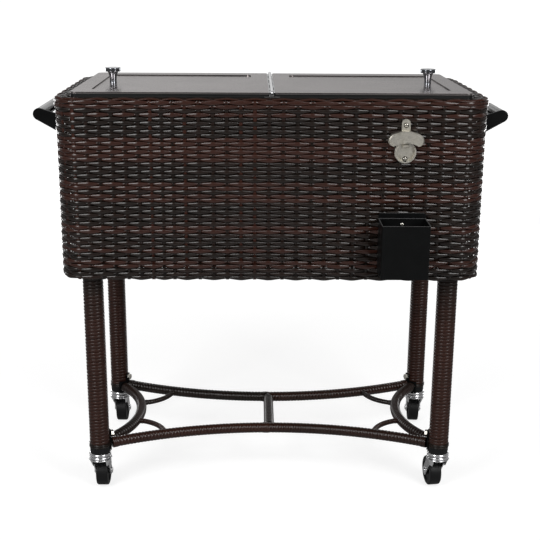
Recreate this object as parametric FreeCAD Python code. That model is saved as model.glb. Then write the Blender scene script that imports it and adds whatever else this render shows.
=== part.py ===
"""Rolling patio cooler: insulated tub in a woven body, centre-hinged lids, wrapped legs, swivel casters.

Millimetres. The origin is on the floor, midway between the four swivel axes. +X runs along the body to the
viewer's right, +Y to the back and +Z up. Each piece is written to its own STEP file.
"""

import FreeCAD, Part
import math
import os

V = FreeCAD.Vector
EAST = V(1, 0, 0)
NORTH = V(0, 1, 0)
UP = V(0, 0, 1)
HOME = V(0, 0, 0)

# Clearances
RUNNING = 0.05
SEAT_GAP = 0.3
PRESS_GAP = 0.1

# Casters
WHEEL_DIAMETER = 63.0
WHEEL_WIDTH = 25.0
WHEEL_SHOULDER = 3.0
HUB_RECESS_DIAMETER = 44.0
HUB_RECESS_DEPTH = 2.5
HUB_BOSS_DIAMETER = 17.0
WHEEL_SIDE_GAP = 1.5
AXLE_DIAMETER = 8.0
AXLE_HEAD_DIAMETER = 13.0
AXLE_HEAD_HEIGHT = 3.0
CASTER_TRAIL = 34.0
FORK_SHEET = 2.5
FORK_BOSS_DIAMETER = 20.0
CROWN_DIAMETER = 49.0
CROWN_GAP = 14.0
SKIRT_HEIGHT = 15.0
SKIRT_FLARE = 0.8
RACE_DIAMETER = 46.0
RACE_BULGE = 2.0
RACE_RING_HEIGHT = 6.0
RACE_SLIT = 0.6
CUP_HEIGHT = 6.9
KING_PIN_DIAMETER = 9.0
KING_HEAD_DIAMETER = 16.0
KING_HEAD_HEIGHT = 3.0
STEM_DIAMETER = 11.0
STEM_LENGTH = 30.0
FORK_TURNS = {"front_left": -1.0, "front_right": 8.0, "rear_left": -1.0, "rear_right": -4.0}

# Legs
LEG_LENGTH = 380.0
LEG_TUBE_DIAMETER = 32.0
LEG_TUBE_WALL = 1.6
LEG_WRAP = 4.8
LEG_INSET_X = 60.0
LEG_INSET_Y = 55.0
LEG_PLATE_DIAMETER = 54.0
LEG_PLATE = 4.0
COLLAR_HEIGHT = 13.5
COLLAR_DIAMETER = 41.5
PLUG_LENGTH = 36.0

# Stretcher frame
STRETCHER_DIAMETER = 22.5
STRETCHER_RISE = 2.5
STRETCHER_END_X = 24.0
STRETCHER_END_Y = 8.0
STRETCHER_BOW = 74.0
END_ARC_END_X = 14.0
END_ARC_END_Y = 23.0
END_ARC_BOW = 55.0
BRACE_DIAMETER = 11.5
BRACE_FROM_MIDDLE = 48.0
BRACE_FROM_LEG = 134.0
BRACE_BOW = 17.0
SADDLE_SHEET = 3.5
SADDLE_SPAN = 84.0
SADDLE_BELOW = 14.0
SADDLE_ABOVE = 12.0
EAR_SPAN = 34.0
EAR_ABOVE_BOLT = 7.5
BOLT_RISE = 21.0
BOLT_ANGLE = 22.0
BOLT_DIAMETER = 6.0
BOLT_HEAD_ACROSS = 12.0
BOLT_HEAD_HEIGHT = 5.0
BOLT_LENGTH = 22.0

# Lids
LID_LENGTH = 770.0
LID_DEPTH = 388.0
LID_CORNER = 12.0
LID_SHEET = 1.2
LID_SKIRT = 3.2
LID_EDGE_RADIUS = 1.0
LID_HEIGHT = 6.7
LID_RISE = 6.5
LID_SPLIT = 13.0
PANEL_RECESS = 2.0
PANEL_END_MARGIN = 35.0
PANEL_SIDE_MARGIN = 46.0
PANEL_MIDDLE_MARGIN = 42.0
PANEL_CORNER = 10.0
LINER_PLUG_HEIGHT = 28.0
LINER_PLUG_END_GAP = 5.0
LINER_PLUG_SIDE_GAP = 2.0
LINER_PLUG_EDGE = 8.0
KNOB_INSET = 58.5
KNOB_HEIGHT = 31.0
KNOB_CAP_DIAMETER = 32.0
KNOB_CAP_HEIGHT = 8.5
KNOB_NECK_DIAMETER = 22.0
KNOB_FOOT_DIAMETER = 15.0
KNOB_STUD_DIAMETER = 5.0
KNOB_STUD_LENGTH = 18.0

# Hinge
ROD_DIAMETER = 4.0
ROD_BALL_DIAMETER = 7.0
BARREL_DIAMETER = 7.0
HINGE_DROP = 0.5
KNUCKLES = 8
KNUCKLE_SLIT = 0.6
LEAF_SHEET = 1.2
LEAF_REACH = 28.0
LUG_WIDTH = 6.0
CENTRE_BAR_WIDTH = 30.0
CENTRE_BAR_HEIGHT = 12.0
CENTRE_BAR_SHEET = 2.0

# Tub, foam and case
FLANGE_WIDTH = 22.0
FLANGE_SHEET = 3.0
GASKET_HEIGHT = 2.0
GASKET_WIDTH = 16.0
TUB_WALL = 3.0
TUB_FLOOR = 5.0
TUB_DRAFT = 10.0
TUB_CORNER = 40.0
TUB_FLOOR_RADIUS = 16.0
FOAM_FLOOR = 23.5
CASE_SHEET = 2.0
CASE_MARGIN = 3.0
CASE_CORNER = 24.0

# Woven body and its frame
BODY_HEIGHT = 354.0
RIM_GAP = 4.0
RIM_WIDTH_X = 32.0
RIM_WIDTH_Y = 27.0
RIM_HEIGHT = 18.5
RIM_BULGE = 2.0
RIM_OUTER_RADIUS = 9.0
RIM_INNER_RADIUS = 5.0
SHELL_THICKNESS = 8.0
SHELL_CORNER = 55.0
SHELL_DROP = 3.0
COURSE_PITCH = 7.8
COURSE_DEPTH = 2.4
COURSE_CREST = 0.4
FRAME_GAP = 1.0
RAIL_HEIGHT = 16.0
POST_WIDTH = 16.0

# Handles
HANDLE_SPAN = 200.0
GRIP_DIAMETER = 23.0
GRIP_REACH = 44.0
GRIP_DROP = 48.5
ARM_THICKNESS = 5.0
ARM_END_DIAMETER = 24.0
ARM_ROOT_DROP = 1.5
ARM_ROOT_HEIGHT = 37.0
ARM_TAB_WIDTH = 26.0
ARM_TAB_SHEET = 3.0

# Bottle opener and cap catcher
FITTING_INSET = 166.0
OPENER_DROP = 79.6
OPENER_PLATE = 3.5
OPENER_TAB_WIDTH = 16.5
OPENER_TAB_TOP = 41.6
OPENER_DISC_DIAMETER = 41.4
OPENER_DISC_DROP = 21.0
OPENER_LIP_WIDTH = 3.2
OPENER_LIP_HEIGHT = 4.5
OPENER_HOOD_DEPTH = 17.0
OPENER_HOOD_WALL = 3.5
OPENER_HOOD_BEVEL = 2.5
OPENER_HOOD_WIDTH = 67.6
OPENER_HOOD_TOP = 19.5
OPENER_HOOD_FALL = 8.7
OPENER_TOOTH_WIDTH = 11.0
OPENER_TOOTH_HEIGHT = 7.0
OPENER_UPPER_SCREW = 30.0
OPENER_LOWER_SCREW = -34.0
CATCHER_WIDTH = 92.0
CATCHER_DEPTH = 67.0
CATCHER_HEIGHT = 105.0
CATCHER_BACK_RISE = 11.0
CATCHER_SHEET = 1.5
CATCHER_CORNER = 4.0
CATCHER_RISE = 18.5
CATCHER_SCREW_DROP = 23.0

# Screws into the woven body
SCREW_DIAMETER = 4.0
SCREW_LENGTH = 12.0
SCREW_HEAD_DIAMETER = 7.0
SCREW_HEAD_HEIGHT = 2.4

# Drain
DRAIN_INSET = 160.0
DRAIN_TUBE_DIAMETER = 26.0
DRAIN_TUBE_WALL = 3.0
DRAIN_TUBE_BELOW = 40.0
DRAIN_FLANGE_DIAMETER = 44.0
DRAIN_FLANGE = 2.0
DRAIN_NUT_ACROSS = 38.0
DRAIN_NUT_HEIGHT = 9.0
DRAIN_CAP_WALL = 3.0
DRAIN_CAP_HEIGHT = 22.0
DRAIN_CAP_RIBS = 12
DRAIN_CAP_RIB_DIAMETER = 3.0

# Heights that follow from the stack of pieces, floor upwards
AXLE_Z = WHEEL_DIAMETER / 2
CROWN_Z = WHEEL_DIAMETER + CROWN_GAP
RACE_Z = CROWN_Z + FORK_SHEET
CUP_Z = RACE_Z + RACE_RING_HEIGHT + RACE_SLIT
COLLAR_Z = CUP_Z + CUP_HEIGHT
LEG_Z = COLLAR_Z + COLLAR_HEIGHT
LEG_TOP_Z = LEG_Z + LEG_LENGTH
BODY_Z = LEG_TOP_Z + LEG_PLATE
RIM_TOP_Z = BODY_Z + BODY_HEIGHT
RIM_Z = RIM_TOP_Z - RIM_HEIGHT
LID_TOP_Z = RIM_TOP_Z + LID_RISE
LID_Z = LID_TOP_Z - LID_HEIGHT
GASKET_TOP_Z = LID_Z - SEAT_GAP
FLANGE_TOP_Z = GASKET_TOP_Z - GASKET_HEIGHT
FLANGE_Z = FLANGE_TOP_Z - FLANGE_SHEET
CASE_Z = BODY_Z + RAIL_HEIGHT
FOAM_Z = CASE_Z + CASE_SHEET
TUB_Z = FOAM_Z + FOAM_FLOOR
FLOOR_Z = TUB_Z + TUB_FLOOR
HINGE_Z = LID_TOP_Z - HINGE_DROP
STRETCHER_Z = LEG_Z + STRETCHER_RISE

# Plan sizes that follow, as half lengths and half depths
LID_HX = LID_LENGTH / 2
LID_HY = LID_DEPTH / 2
OPEN_HX = LID_HX - FLANGE_WIDTH
OPEN_HY = LID_HY - FLANGE_WIDTH
CASE_HX = LID_HX + CASE_MARGIN
CASE_HY = LID_HY + CASE_MARGIN
RIM_IN_HX = LID_HX + RIM_GAP
RIM_IN_HY = LID_HY + RIM_GAP
RIM_HX = RIM_IN_HX + RIM_WIDTH_X
RIM_HY = RIM_IN_HY + RIM_WIDTH_Y
BODY_HX = RIM_HX - RIM_BULGE
BODY_HY = RIM_HY - RIM_BULGE
SHELL_IN_HX = BODY_HX - SHELL_THICKNESS
SHELL_IN_HY = BODY_HY - SHELL_THICKNESS
LEG_X = BODY_HX - LEG_INSET_X
LEG_Y = BODY_HY - LEG_INSET_Y
LEG_RADIUS = LEG_TUBE_DIAMETER / 2 + LEG_WRAP
SADDLE_IN = LEG_RADIUS + SEAT_GAP
SADDLE_OUT = SADDLE_IN + SADDLE_SHEET
FITTING_X = BODY_HX - FITTING_INSET
DRAIN_X = BODY_HX - DRAIN_INSET
GRIP_Z = RIM_TOP_Z - GRIP_DROP
CORNERS = {
    "front_left": (-1, -1),
    "front_right": (1, -1),
    "rear_left": (-1, 1),
    "rear_right": (1, 1),
}


def rounded_rect(half_x, half_y, radius, z):
    """Closed outline of a rectangle with round corners, centred on the Z axis."""
    cx, cy = half_x - radius, half_y - radius
    edges = []
    for turn, (sx, sy) in enumerate([(1, 1), (-1, 1), (-1, -1), (1, -1)]):
        start, end = math.radians(90 * turn), math.radians(90 * turn + 90)
        middle = (start + end) / 2
        angles = (start, middle, end)
        arc = [V(sx * cx + radius * math.cos(a), sy * cy + radius * math.sin(a), z) for a in angles]
        edges.append(Part.Arc(*arc).toShape())
        nx, ny = [(-1, 1), (-1, -1), (1, -1), (1, 1)][turn]
        after = V(nx * cx + radius * math.cos(end), ny * cy + radius * math.sin(end), z)
        edges.append(Part.LineSegment(arc[2], after).toShape())
    return Part.Wire(edges)


def slab(half_x, half_y, radius, z0, z1):
    """Upright prism on a rounded rectangle between two heights."""
    return Part.Face(rounded_rect(half_x, half_y, radius, z0)).extrude(V(0, 0, z1 - z0))


def box(x0, x1, y0, y1, z0, z1):
    """Box between two corners given in any order."""
    low = V(min(x0, x1), min(y0, y1), min(z0, z1))
    return Part.makeBox(abs(x1 - x0), abs(y1 - y0), abs(z1 - z0), low)


def rod(radius, start, end):
    """Round bar from one point to another."""
    return Part.makeCylinder(radius, (end - start).Length, start, end - start)


def post(radius, x, y, z0, z1):
    """Upright round bar between two heights."""
    return rod(radius, V(x, y, z0), V(x, y, z1))


def sleeve(outer, inner, x, y, z0, z1):
    """Upright tube."""
    return post(outer, x, y, z0, z1).cut(post(inner, x, y, z0, z1))


def fillet_where(shape, radius, test):
    """Rounds the edges for which the test holds."""
    return shape.makeFillet(radius, [e for e in shape.Edges if test(e)])


def flat_at(z):
    """Test for edges that lie in one level."""
    return lambda e: abs(e.BoundBox.ZMin - z) < 1e-4 and abs(e.BoundBox.ZMax - z) < 1e-4


def upright_at(y):
    """Test for edges that lie in one plane across the cart."""
    return lambda e: abs(e.BoundBox.YMin - y) < 1e-4 and abs(e.BoundBox.YMax - y) < 1e-4


def round_end(head, end, radius):
    """A round head with the rim of its outer end rounded over."""
    rims = [e for e in head.Edges if isinstance(e.Curve, Part.Circle)]
    return head.makeFillet(radius, [e for e in rims if (e.Curve.Center - end).Length < 1e-3])


def circle_centre(a, b, c):
    """Centre of the circle through three plan points."""
    d = 2 * (a.x * (b.y - c.y) + b.x * (c.y - a.y) + c.x * (a.y - b.y))
    sa, sb, sc = a.x ** 2 + a.y ** 2, b.x ** 2 + b.y ** 2, c.x ** 2 + c.y ** 2
    ux = (sa * (b.y - c.y) + sb * (c.y - a.y) + sc * (a.y - b.y)) / d
    uy = (sa * (c.x - b.x) + sb * (a.x - c.x) + sc * (b.x - a.x)) / d
    return V(ux, uy, a.z)


def bent_bar(start, middle, end, diameter, extra):
    """Round bar bent to one arc through three level points, run on past both ends by a length."""
    centre = circle_centre(start, middle, end)
    radius = (start - centre).Length
    a0 = math.atan2(start.y - centre.y, start.x - centre.x)
    a1 = math.atan2(end.y - centre.y, end.x - centre.x)
    turn = (a1 - a0 + math.pi) % (2 * math.pi) - math.pi
    step = math.copysign(extra / radius, turn)
    a0, turn = a0 - step, turn + 2 * step
    point = V(centre.x + radius * math.cos(a0), centre.y + radius * math.sin(a0), centre.z)
    tangent = V(-math.sin(a0), math.cos(a0), 0)
    section = Part.Face(Part.Wire(Part.makeCircle(diameter / 2, point, tangent)))
    return section.revolve(centre, UP, math.degrees(turn))


def arc_height(start, middle, end, x=None, y=None):
    """Point at a given x or y of the arc through three level points, on the middle point's side."""
    centre = circle_centre(start, middle, end)
    radius = (start - centre).Length
    if x is not None:
        side = math.copysign(1, middle.y - centre.y)
        return V(x, centre.y + side * math.sqrt(radius ** 2 - (x - centre.x) ** 2), centre.z)
    side = math.copysign(1, middle.x - centre.x)
    return V(centre.x + side * math.sqrt(radius ** 2 - (y - centre.y) ** 2), y, centre.z)


def largest(shape):
    """The main solid of a cut, without the offcuts beyond a trimmed end."""
    return max(shape.Solids, key=lambda s: s.Volume)


def turned(profile, axis_point, axis):
    """Solid of revolution from a closed list of edges."""
    return Part.Face(Part.Wire(profile)).revolve(axis_point, axis, 360)


def polyline(points):
    """Edges of a closed polygon."""
    return [Part.LineSegment(a, b).toShape() for a, b in zip(points, points[1:] + points[:1])]


def hexagon(across, x, y, z0, z1):
    """Upright hexagonal prism."""
    r = across / math.sqrt(3)
    turns = [math.radians(60 * i) for i in range(6)]
    points = [V(x + r * math.cos(a), y + r * math.sin(a), z0) for a in turns]
    return Part.Face(Part.Wire(polyline(points))).extrude(V(0, 0, z1 - z0))


def mirrored(shape):
    """The same piece on the other end of the cart."""
    return shape.mirror(HOME, EAST)


def at_corner(shape, corner, turn=0.0):
    """A caster piece modelled on the Z axis, turned about it and moved under its leg."""
    sx, sy = CORNERS[corner]
    copy = shape.copy()
    copy.rotate(HOME, UP, turn)
    copy.translate(V(sx * LEG_X, sy * LEG_Y, 0))
    return copy


def tub_block(grow, z0, z1):
    """Drafted block of the tub's inside, grown by a wall, between two heights."""
    rise = FLANGE_TOP_Z - FLOOR_Z
    wires = []
    for z in (z0, z1):
        draw = TUB_DRAFT * (FLANGE_TOP_Z - z) / rise - grow
        wires.append(rounded_rect(OPEN_HX - draw, OPEN_HY - draw, TUB_CORNER - draw, z))
    return Part.makeLoft(wires, True, True)


def make_tub():
    """Moulded liner: drafted tub, round floor edge, flange and the drain's seat."""
    cavity = tub_block(0, FLOOR_Z, FLANGE_TOP_Z)
    cavity = fillet_where(cavity, TUB_FLOOR_RADIUS, flat_at(FLOOR_Z))
    body = tub_block(TUB_WALL, TUB_Z, FLANGE_TOP_Z)
    flange = slab(CASE_HX, CASE_HY, CASE_CORNER, FLANGE_Z, FLANGE_TOP_Z)
    tub = body.fuse(flange).cut(cavity)
    seat = post(DRAIN_FLANGE_DIAMETER / 2 + PRESS_GAP, DRAIN_X, 0, FLOOR_Z - DRAIN_FLANGE, FLOOR_Z + 1)
    return tub.cut(seat).cut(drain_bore()).removeSplitter()


def drain_bore():
    """Hole for the drain tube through floor, foam and case."""
    return post(DRAIN_TUBE_DIAMETER / 2 + PRESS_GAP, DRAIN_X, 0, BODY_Z, FLOOR_Z + 1)


def make_foam():
    """Foam between the case and the tub."""
    block = slab(CASE_HX - CASE_SHEET, CASE_HY - CASE_SHEET, CASE_CORNER - CASE_SHEET, FOAM_Z, FLANGE_Z)
    return block.cut(tub_block(TUB_WALL, TUB_Z, FLANGE_TOP_Z)).cut(drain_bore())


def make_case_wall():
    """Outer sheet round the foam, standing on the floor pan."""
    outer = slab(CASE_HX, CASE_HY, CASE_CORNER, FOAM_Z, FLANGE_Z)
    inner = slab(CASE_HX - CASE_SHEET, CASE_HY - CASE_SHEET, CASE_CORNER - CASE_SHEET, FOAM_Z, FLANGE_Z)
    return outer.cut(inner)


def make_case_floor():
    """Floor pan under the foam, with the drain's hole."""
    return slab(CASE_HX, CASE_HY, CASE_CORNER, CASE_Z, FOAM_Z).cut(drain_bore())


def make_gasket():
    """Soft ring under the lid edges, notched where the centre bar crosses."""
    outer = slab(LID_HX - LID_SHEET, LID_HY - LID_SHEET, LID_CORNER, FLANGE_TOP_Z, GASKET_TOP_Z)
    inner_hx, inner_hy = LID_HX - LID_SHEET - GASKET_WIDTH, LID_HY - LID_SHEET - GASKET_WIDTH
    inner = slab(inner_hx, inner_hy, TUB_CORNER, FLANGE_TOP_Z, GASKET_TOP_Z)
    notch = CENTRE_BAR_WIDTH / 2 + SEAT_GAP
    return outer.cut(inner).cut(box(-notch, notch, -LID_HY, LID_HY, FLANGE_TOP_Z, GASKET_TOP_Z))


def make_frame():
    """Welded steel frame: two rings, four posts, two cross rails and a plate over each leg."""
    frame = None
    corner = SHELL_CORNER - SHELL_THICKNESS - FRAME_GAP
    for z in (BODY_Z, RIM_Z - RAIL_HEIGHT):
        outer = slab(SHELL_IN_HX - FRAME_GAP, SHELL_IN_HY - FRAME_GAP, corner, z, z + RAIL_HEIGHT)
        inner = slab(CASE_HX + FRAME_GAP, CASE_HY + FRAME_GAP, CASE_CORNER + FRAME_GAP, z, z + RAIL_HEIGHT)
        ring = outer.cut(inner)
        frame = ring if frame is None else frame.fuse(ring)
    half = POST_WIDTH / 2
    for sx in (-1, 1):
        x0, x1 = sx * LEG_X - half, sx * LEG_X + half
        frame = frame.fuse(box(x0, x1, -CASE_HY - 2 * FRAME_GAP, CASE_HY + 2 * FRAME_GAP, BODY_Z, CASE_Z))
        for sy in (-1, 1):
            y0, y1 = sy * (CASE_HY + FRAME_GAP), sy * (SHELL_IN_HY - FRAME_GAP)
            frame = frame.fuse(box(x0, x1, y0, y1, BODY_Z, RIM_Z))
            plate = post(LEG_PLATE_DIAMETER / 2, sx * LEG_X, sy * LEG_Y, LEG_TOP_Z, BODY_Z)
            frame = frame.fuse(plate)
    return frame.removeSplitter()


def wall_screw(x, y, z, out, head_from):
    """Pan-head screw whose head sits off the wall by the thickness that it clamps."""
    seat = V(x, y, z) + out * head_from
    end = seat + out * SCREW_HEAD_HEIGHT
    head = round_end(rod(SCREW_HEAD_DIAMETER / 2, seat, end), end, SCREW_HEAD_HEIGHT * 0.6)
    return head.fuse(rod(SCREW_DIAMETER / 2, V(x, y, z) - out * SCREW_LENGTH, seat)).removeSplitter()


def screw_hole(x, y, z, out, through):
    """Hole for such a screw, through the clamped piece and into the wall."""
    wall = V(x, y, z)
    return rod(SCREW_DIAMETER / 2 + PRESS_GAP, wall - out * (SCREW_LENGTH + 1), wall + out * (through + 1))


def handle_screw_points():
    """Two screws per handle arm, on the tab against the end wall."""
    points = []
    for sx in (-1, 1):
        for sy in (-1, 1):
            y = sy * (HANDLE_SPAN / 2 - ARM_THICKNESS / 2 - ARM_TAB_WIDTH * 0.55)
            for k in (-1, 1):
                z = GRIP_Z - ARM_ROOT_DROP - ARM_ROOT_HEIGHT / 2 + k * ARM_ROOT_HEIGHT * 0.27
                points.append((sx * BODY_HX, y, z, V(sx, 0, 0)))
    return points


def front_screw_points():
    """Screws of the opener and of the catcher: place, way out and clamped thickness."""
    opener_z = RIM_TOP_Z - OPENER_DROP
    catcher_z = BODY_Z + CATCHER_RISE + CATCHER_HEIGHT + CATCHER_BACK_RISE - CATCHER_SCREW_DROP
    out = V(0, -1, 0)
    return {
        "opener": [
            (FITTING_X, -BODY_HY, opener_z + OPENER_UPPER_SCREW, out),
            (FITTING_X, -BODY_HY, opener_z + OPENER_LOWER_SCREW, out),
        ],
        "catcher": [(FITTING_X, -BODY_HY, catcher_z, out)],
    }


def woven_block():
    """Solid block of the woven wall: one ridge round it for each course of strands, with a flat crest."""
    foot = BODY_Z - SHELL_DROP
    courses = round((RIM_Z - foot) / COURSE_PITCH)
    pitch = (RIM_Z - foot) / courses
    crest = pitch * COURSE_CREST / 2
    levels = [(foot, COURSE_DEPTH)]
    for i in range(courses):
        middle = foot + (i + 0.5) * pitch
        levels += [(middle - crest, 0.0), (middle + crest, 0.0), (foot + (i + 1) * pitch, COURSE_DEPTH)]
    wires = [rounded_rect(BODY_HX - d, BODY_HY - d, SHELL_CORNER - d, z) for z, d in levels]
    return Part.makeLoft(wires, True, True)


def make_shell():
    """Woven wall, drilled for the screws that hold the fittings."""
    inner = slab(SHELL_IN_HX, SHELL_IN_HY, SHELL_CORNER - SHELL_THICKNESS, BODY_Z - SHELL_DROP, RIM_Z)
    wall = woven_block().cut(inner)
    places = handle_screw_points() + front_screw_points()["opener"] + front_screw_points()["catcher"]
    return wall.cut(Part.makeCompound([screw_hole(*p, 0) for p in places]))


def make_rim():
    """Wrapped border that caps the wall and the frame's top ring."""
    outer = slab(RIM_HX, RIM_HY, SHELL_CORNER + RIM_BULGE, RIM_Z, RIM_TOP_Z)
    inner = slab(RIM_IN_HX, RIM_IN_HY, CASE_CORNER + RIM_GAP - CASE_MARGIN, RIM_Z, RIM_TOP_Z)
    rim = outer.cut(inner)
    def outside(e):
        b = e.BoundBox
        return b.XMax > RIM_IN_HX + RIM_BULGE or b.YMax > RIM_IN_HY + RIM_BULGE or \
            b.XMin < -RIM_IN_HX - RIM_BULGE or b.YMin < -RIM_IN_HY - RIM_BULGE
    top = flat_at(RIM_TOP_Z)
    rim = fillet_where(rim, RIM_OUTER_RADIUS, lambda e: top(e) and outside(e))
    return fillet_where(rim, RIM_INNER_RADIUS, lambda e: top(e) and not outside(e))


def make_leg_tube(corner):
    """Steel leg, drilled for its bracket bolt."""
    sx, sy = CORNERS[corner]
    r = LEG_TUBE_DIAMETER / 2
    return sleeve(r, r - LEG_TUBE_WALL, sx * LEG_X, sy * LEG_Y, LEG_Z, LEG_TOP_Z).cut(bolt_hole(corner))


def make_leg_wrap(corner):
    """Wicker covering of a leg, open where the bracket bolt enters."""
    sx, sy = CORNERS[corner]
    r = LEG_TUBE_DIAMETER / 2
    return sleeve(LEG_RADIUS, r, sx * LEG_X, sy * LEG_Y, LEG_Z, LEG_TOP_Z).cut(bolt_hole(corner))


def make_plugs():
    """Black feet: a collar under each leg tube and a plug up inside it, bored for the caster stem."""
    plugs = []
    for sx, sy in CORNERS.values():
        x, y = sx * LEG_X, sy * LEG_Y
        collar = rod(COLLAR_DIAMETER / 2, V(x, y, COLLAR_Z), V(x, y, LEG_Z))
        collar = fillet_where(collar, 1.5, flat_at(COLLAR_Z))
        inside = LEG_TUBE_DIAMETER / 2 - LEG_TUBE_WALL - PRESS_GAP
        plug = collar.fuse(rod(inside, V(x, y, LEG_Z), V(x, y, COLLAR_Z + PLUG_LENGTH)))
        bore = rod(STEM_DIAMETER / 2 + PRESS_GAP, V(x, y, COLLAR_Z), V(x, y, COLLAR_Z + PLUG_LENGTH))
        plugs.append(plug.cut(bore).cut(bolt_hole(corner_name(sx, sy))))
    return Part.makeCompound([s for p in plugs for s in p.Solids])


def corner_name(sx, sy):
    """Name of the corner with these signs."""
    return [k for k, v in CORNERS.items() if v == (sx, sy)][0]


def inward(corner):
    """Level direction of a bracket bolt's head, from its leg towards the middle of the cart."""
    sx, sy = CORNERS[corner]
    turn = math.radians(BOLT_ANGLE)
    return V(-sx * math.cos(turn), -sy * math.sin(turn), 0)


def bolt_seat(corner):
    """Point where the bracket bolt's head meets its saddle."""
    sx, sy = CORNERS[corner]
    return V(sx * LEG_X, sy * LEG_Y, STRETCHER_Z + BOLT_RISE) + inward(corner) * SADDLE_OUT


def bolt_hole(corner):
    """Clearance hole of the bracket bolt."""
    seat, way = bolt_seat(corner), inward(corner)
    return rod(BOLT_DIAMETER / 2 + PRESS_GAP, seat + way * 2, seat - way * (BOLT_LENGTH + 1))


def curved_plate(middle, span, z0, z1):
    """Part of the saddles' sleeve about the Z axis: its middle direction, its span and two heights."""
    outline = [V(SADDLE_IN, 0, z0), V(SADDLE_OUT, 0, z0), V(SADDLE_OUT, 0, z1), V(SADDLE_IN, 0, z1)]
    plate = Part.Face(Part.Wire(polyline(outline))).revolve(HOME, UP, span)
    plate.rotate(HOME, UP, middle - span / 2)
    return plate


def make_saddles():
    """Curved brackets that hug the legs and carry the stretcher frame, each with an ear for its bolt."""
    saddles = []
    for corner, (sx, sy) in CORNERS.items():
        z0, z1 = STRETCHER_Z - SADDLE_BELOW, STRETCHER_Z + SADDLE_ABOVE
        way = inward(corner)
        saddle = curved_plate(math.degrees(math.atan2(-sy, -sx)), SADDLE_SPAN, z0, z1)
        ear_top = STRETCHER_Z + BOLT_RISE + EAR_ABOVE_BOLT
        ear = curved_plate(math.degrees(math.atan2(way.y, way.x)), EAR_SPAN, z0, ear_top)
        saddle = saddle.fuse(ear).removeSplitter()
        saddle.translate(V(sx * LEG_X, sy * LEG_Y, 0))
        saddles.append(saddle.cut(bolt_hole(corner)))
    return Part.makeCompound([s for p in saddles for s in p.Solids])


def make_bolts():
    """Hexagon bolts that hold the saddles to the legs."""
    bolts = []
    for corner in CORNERS:
        head = hexagon(BOLT_HEAD_ACROSS, 0, 0, 0, BOLT_HEAD_HEIGHT)
        bolt = head.fuse(rod(BOLT_DIAMETER / 2, V(0, 0, -BOLT_LENGTH), HOME)).removeSplitter()
        bolt.Placement = FreeCAD.Placement(bolt_seat(corner), FreeCAD.Rotation(UP, inward(corner)))
        bolts.append(bolt)
    return Part.makeCompound([s for p in bolts for s in p.Solids])


def stretcher_points(sy):
    """Ends and middle of the front or rear stretcher's axis."""
    x, y = LEG_X - STRETCHER_END_X, LEG_Y - STRETCHER_END_Y
    return V(-x, sy * y, STRETCHER_Z), V(0, sy * (y - STRETCHER_BOW), STRETCHER_Z), V(x, sy * y, STRETCHER_Z)


def end_arc_points(sx):
    """Ends and middle of the left or right end arc's axis."""
    x, y = LEG_X - END_ARC_END_X, LEG_Y - END_ARC_END_Y
    return V(sx * x, -y, STRETCHER_Z), V(sx * (x - END_ARC_BOW), 0, STRETCHER_Z), V(sx * x, y, STRETCHER_Z)


def leg_clearance():
    """Cylinders that cope the frame's ends to the saddles."""
    z0, z1 = STRETCHER_Z - STRETCHER_DIAMETER, STRETCHER_Z + STRETCHER_DIAMETER
    posts = [post(SADDLE_OUT, sx * LEG_X, sy * LEG_Y, z0, z1) for sx, sy in CORNERS.values()]
    return Part.makeCompound(posts)


def make_stretcher_frame():
    """Front and rear stretchers, end arcs, crossbar and the four thin braces, each coped to what it meets."""
    legs = leg_clearance()
    nodes = {}
    for name, sy in (("stretcher_front", -1), ("stretcher_rear", 1)):
        bar = bent_bar(*stretcher_points(sy), STRETCHER_DIAMETER, SADDLE_OUT)
        nodes[name] = largest(bar.cut(legs))
    rails = Part.makeCompound([nodes["stretcher_front"], nodes["stretcher_rear"]])
    for name, sx in (("end_arc_left", -1), ("end_arc_right", 1)):
        bar = bent_bar(*end_arc_points(sx), STRETCHER_DIAMETER, SADDLE_OUT)
        nodes[name] = largest(bar.cut(legs).cut(rails))
    cross = rod(STRETCHER_DIAMETER / 2, stretcher_points(-1)[1], stretcher_points(1)[1])
    nodes["crossbar"] = largest(cross.cut(rails))
    carriers = Part.makeCompound(list(nodes.values()))
    braces = []
    for sx, sy in CORNERS.values():
        start = arc_height(*end_arc_points(sx), y=sy * BRACE_FROM_MIDDLE)
        end = arc_height(*stretcher_points(sy), x=sx * (LEG_X - BRACE_FROM_LEG))
        chord = end - start
        square = V(-chord.y, chord.x, 0).normalize()
        if square.x * sx > 0:
            square = -square
        middle = (start + end) / 2 + square * BRACE_BOW
        braces.append(largest(bent_bar(start, middle, end, BRACE_DIAMETER, 0.0).cut(carriers)))
    nodes["corner_braces"] = Part.makeCompound(braces)
    return nodes


def lid_half(shape):
    """The right lid's share of a piece that spans both lids."""
    return shape.common(box(LID_SPLIT / 2, LID_HX + 1, -LID_HY - 1, LID_HY + 1, 0, LID_TOP_Z + 1))


def panel_block(grow, z0, z1):
    """Block of the right lid's pressed panel, grown by a sheet."""
    x0, x1 = PANEL_MIDDLE_MARGIN, LID_HX - PANEL_END_MARGIN
    block = slab((x1 - x0) / 2 + grow, LID_HY - PANEL_SIDE_MARGIN + grow, PANEL_CORNER + grow, z0, z1)
    block.translate(V((x0 + x1) / 2, 0, 0))
    return block


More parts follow.
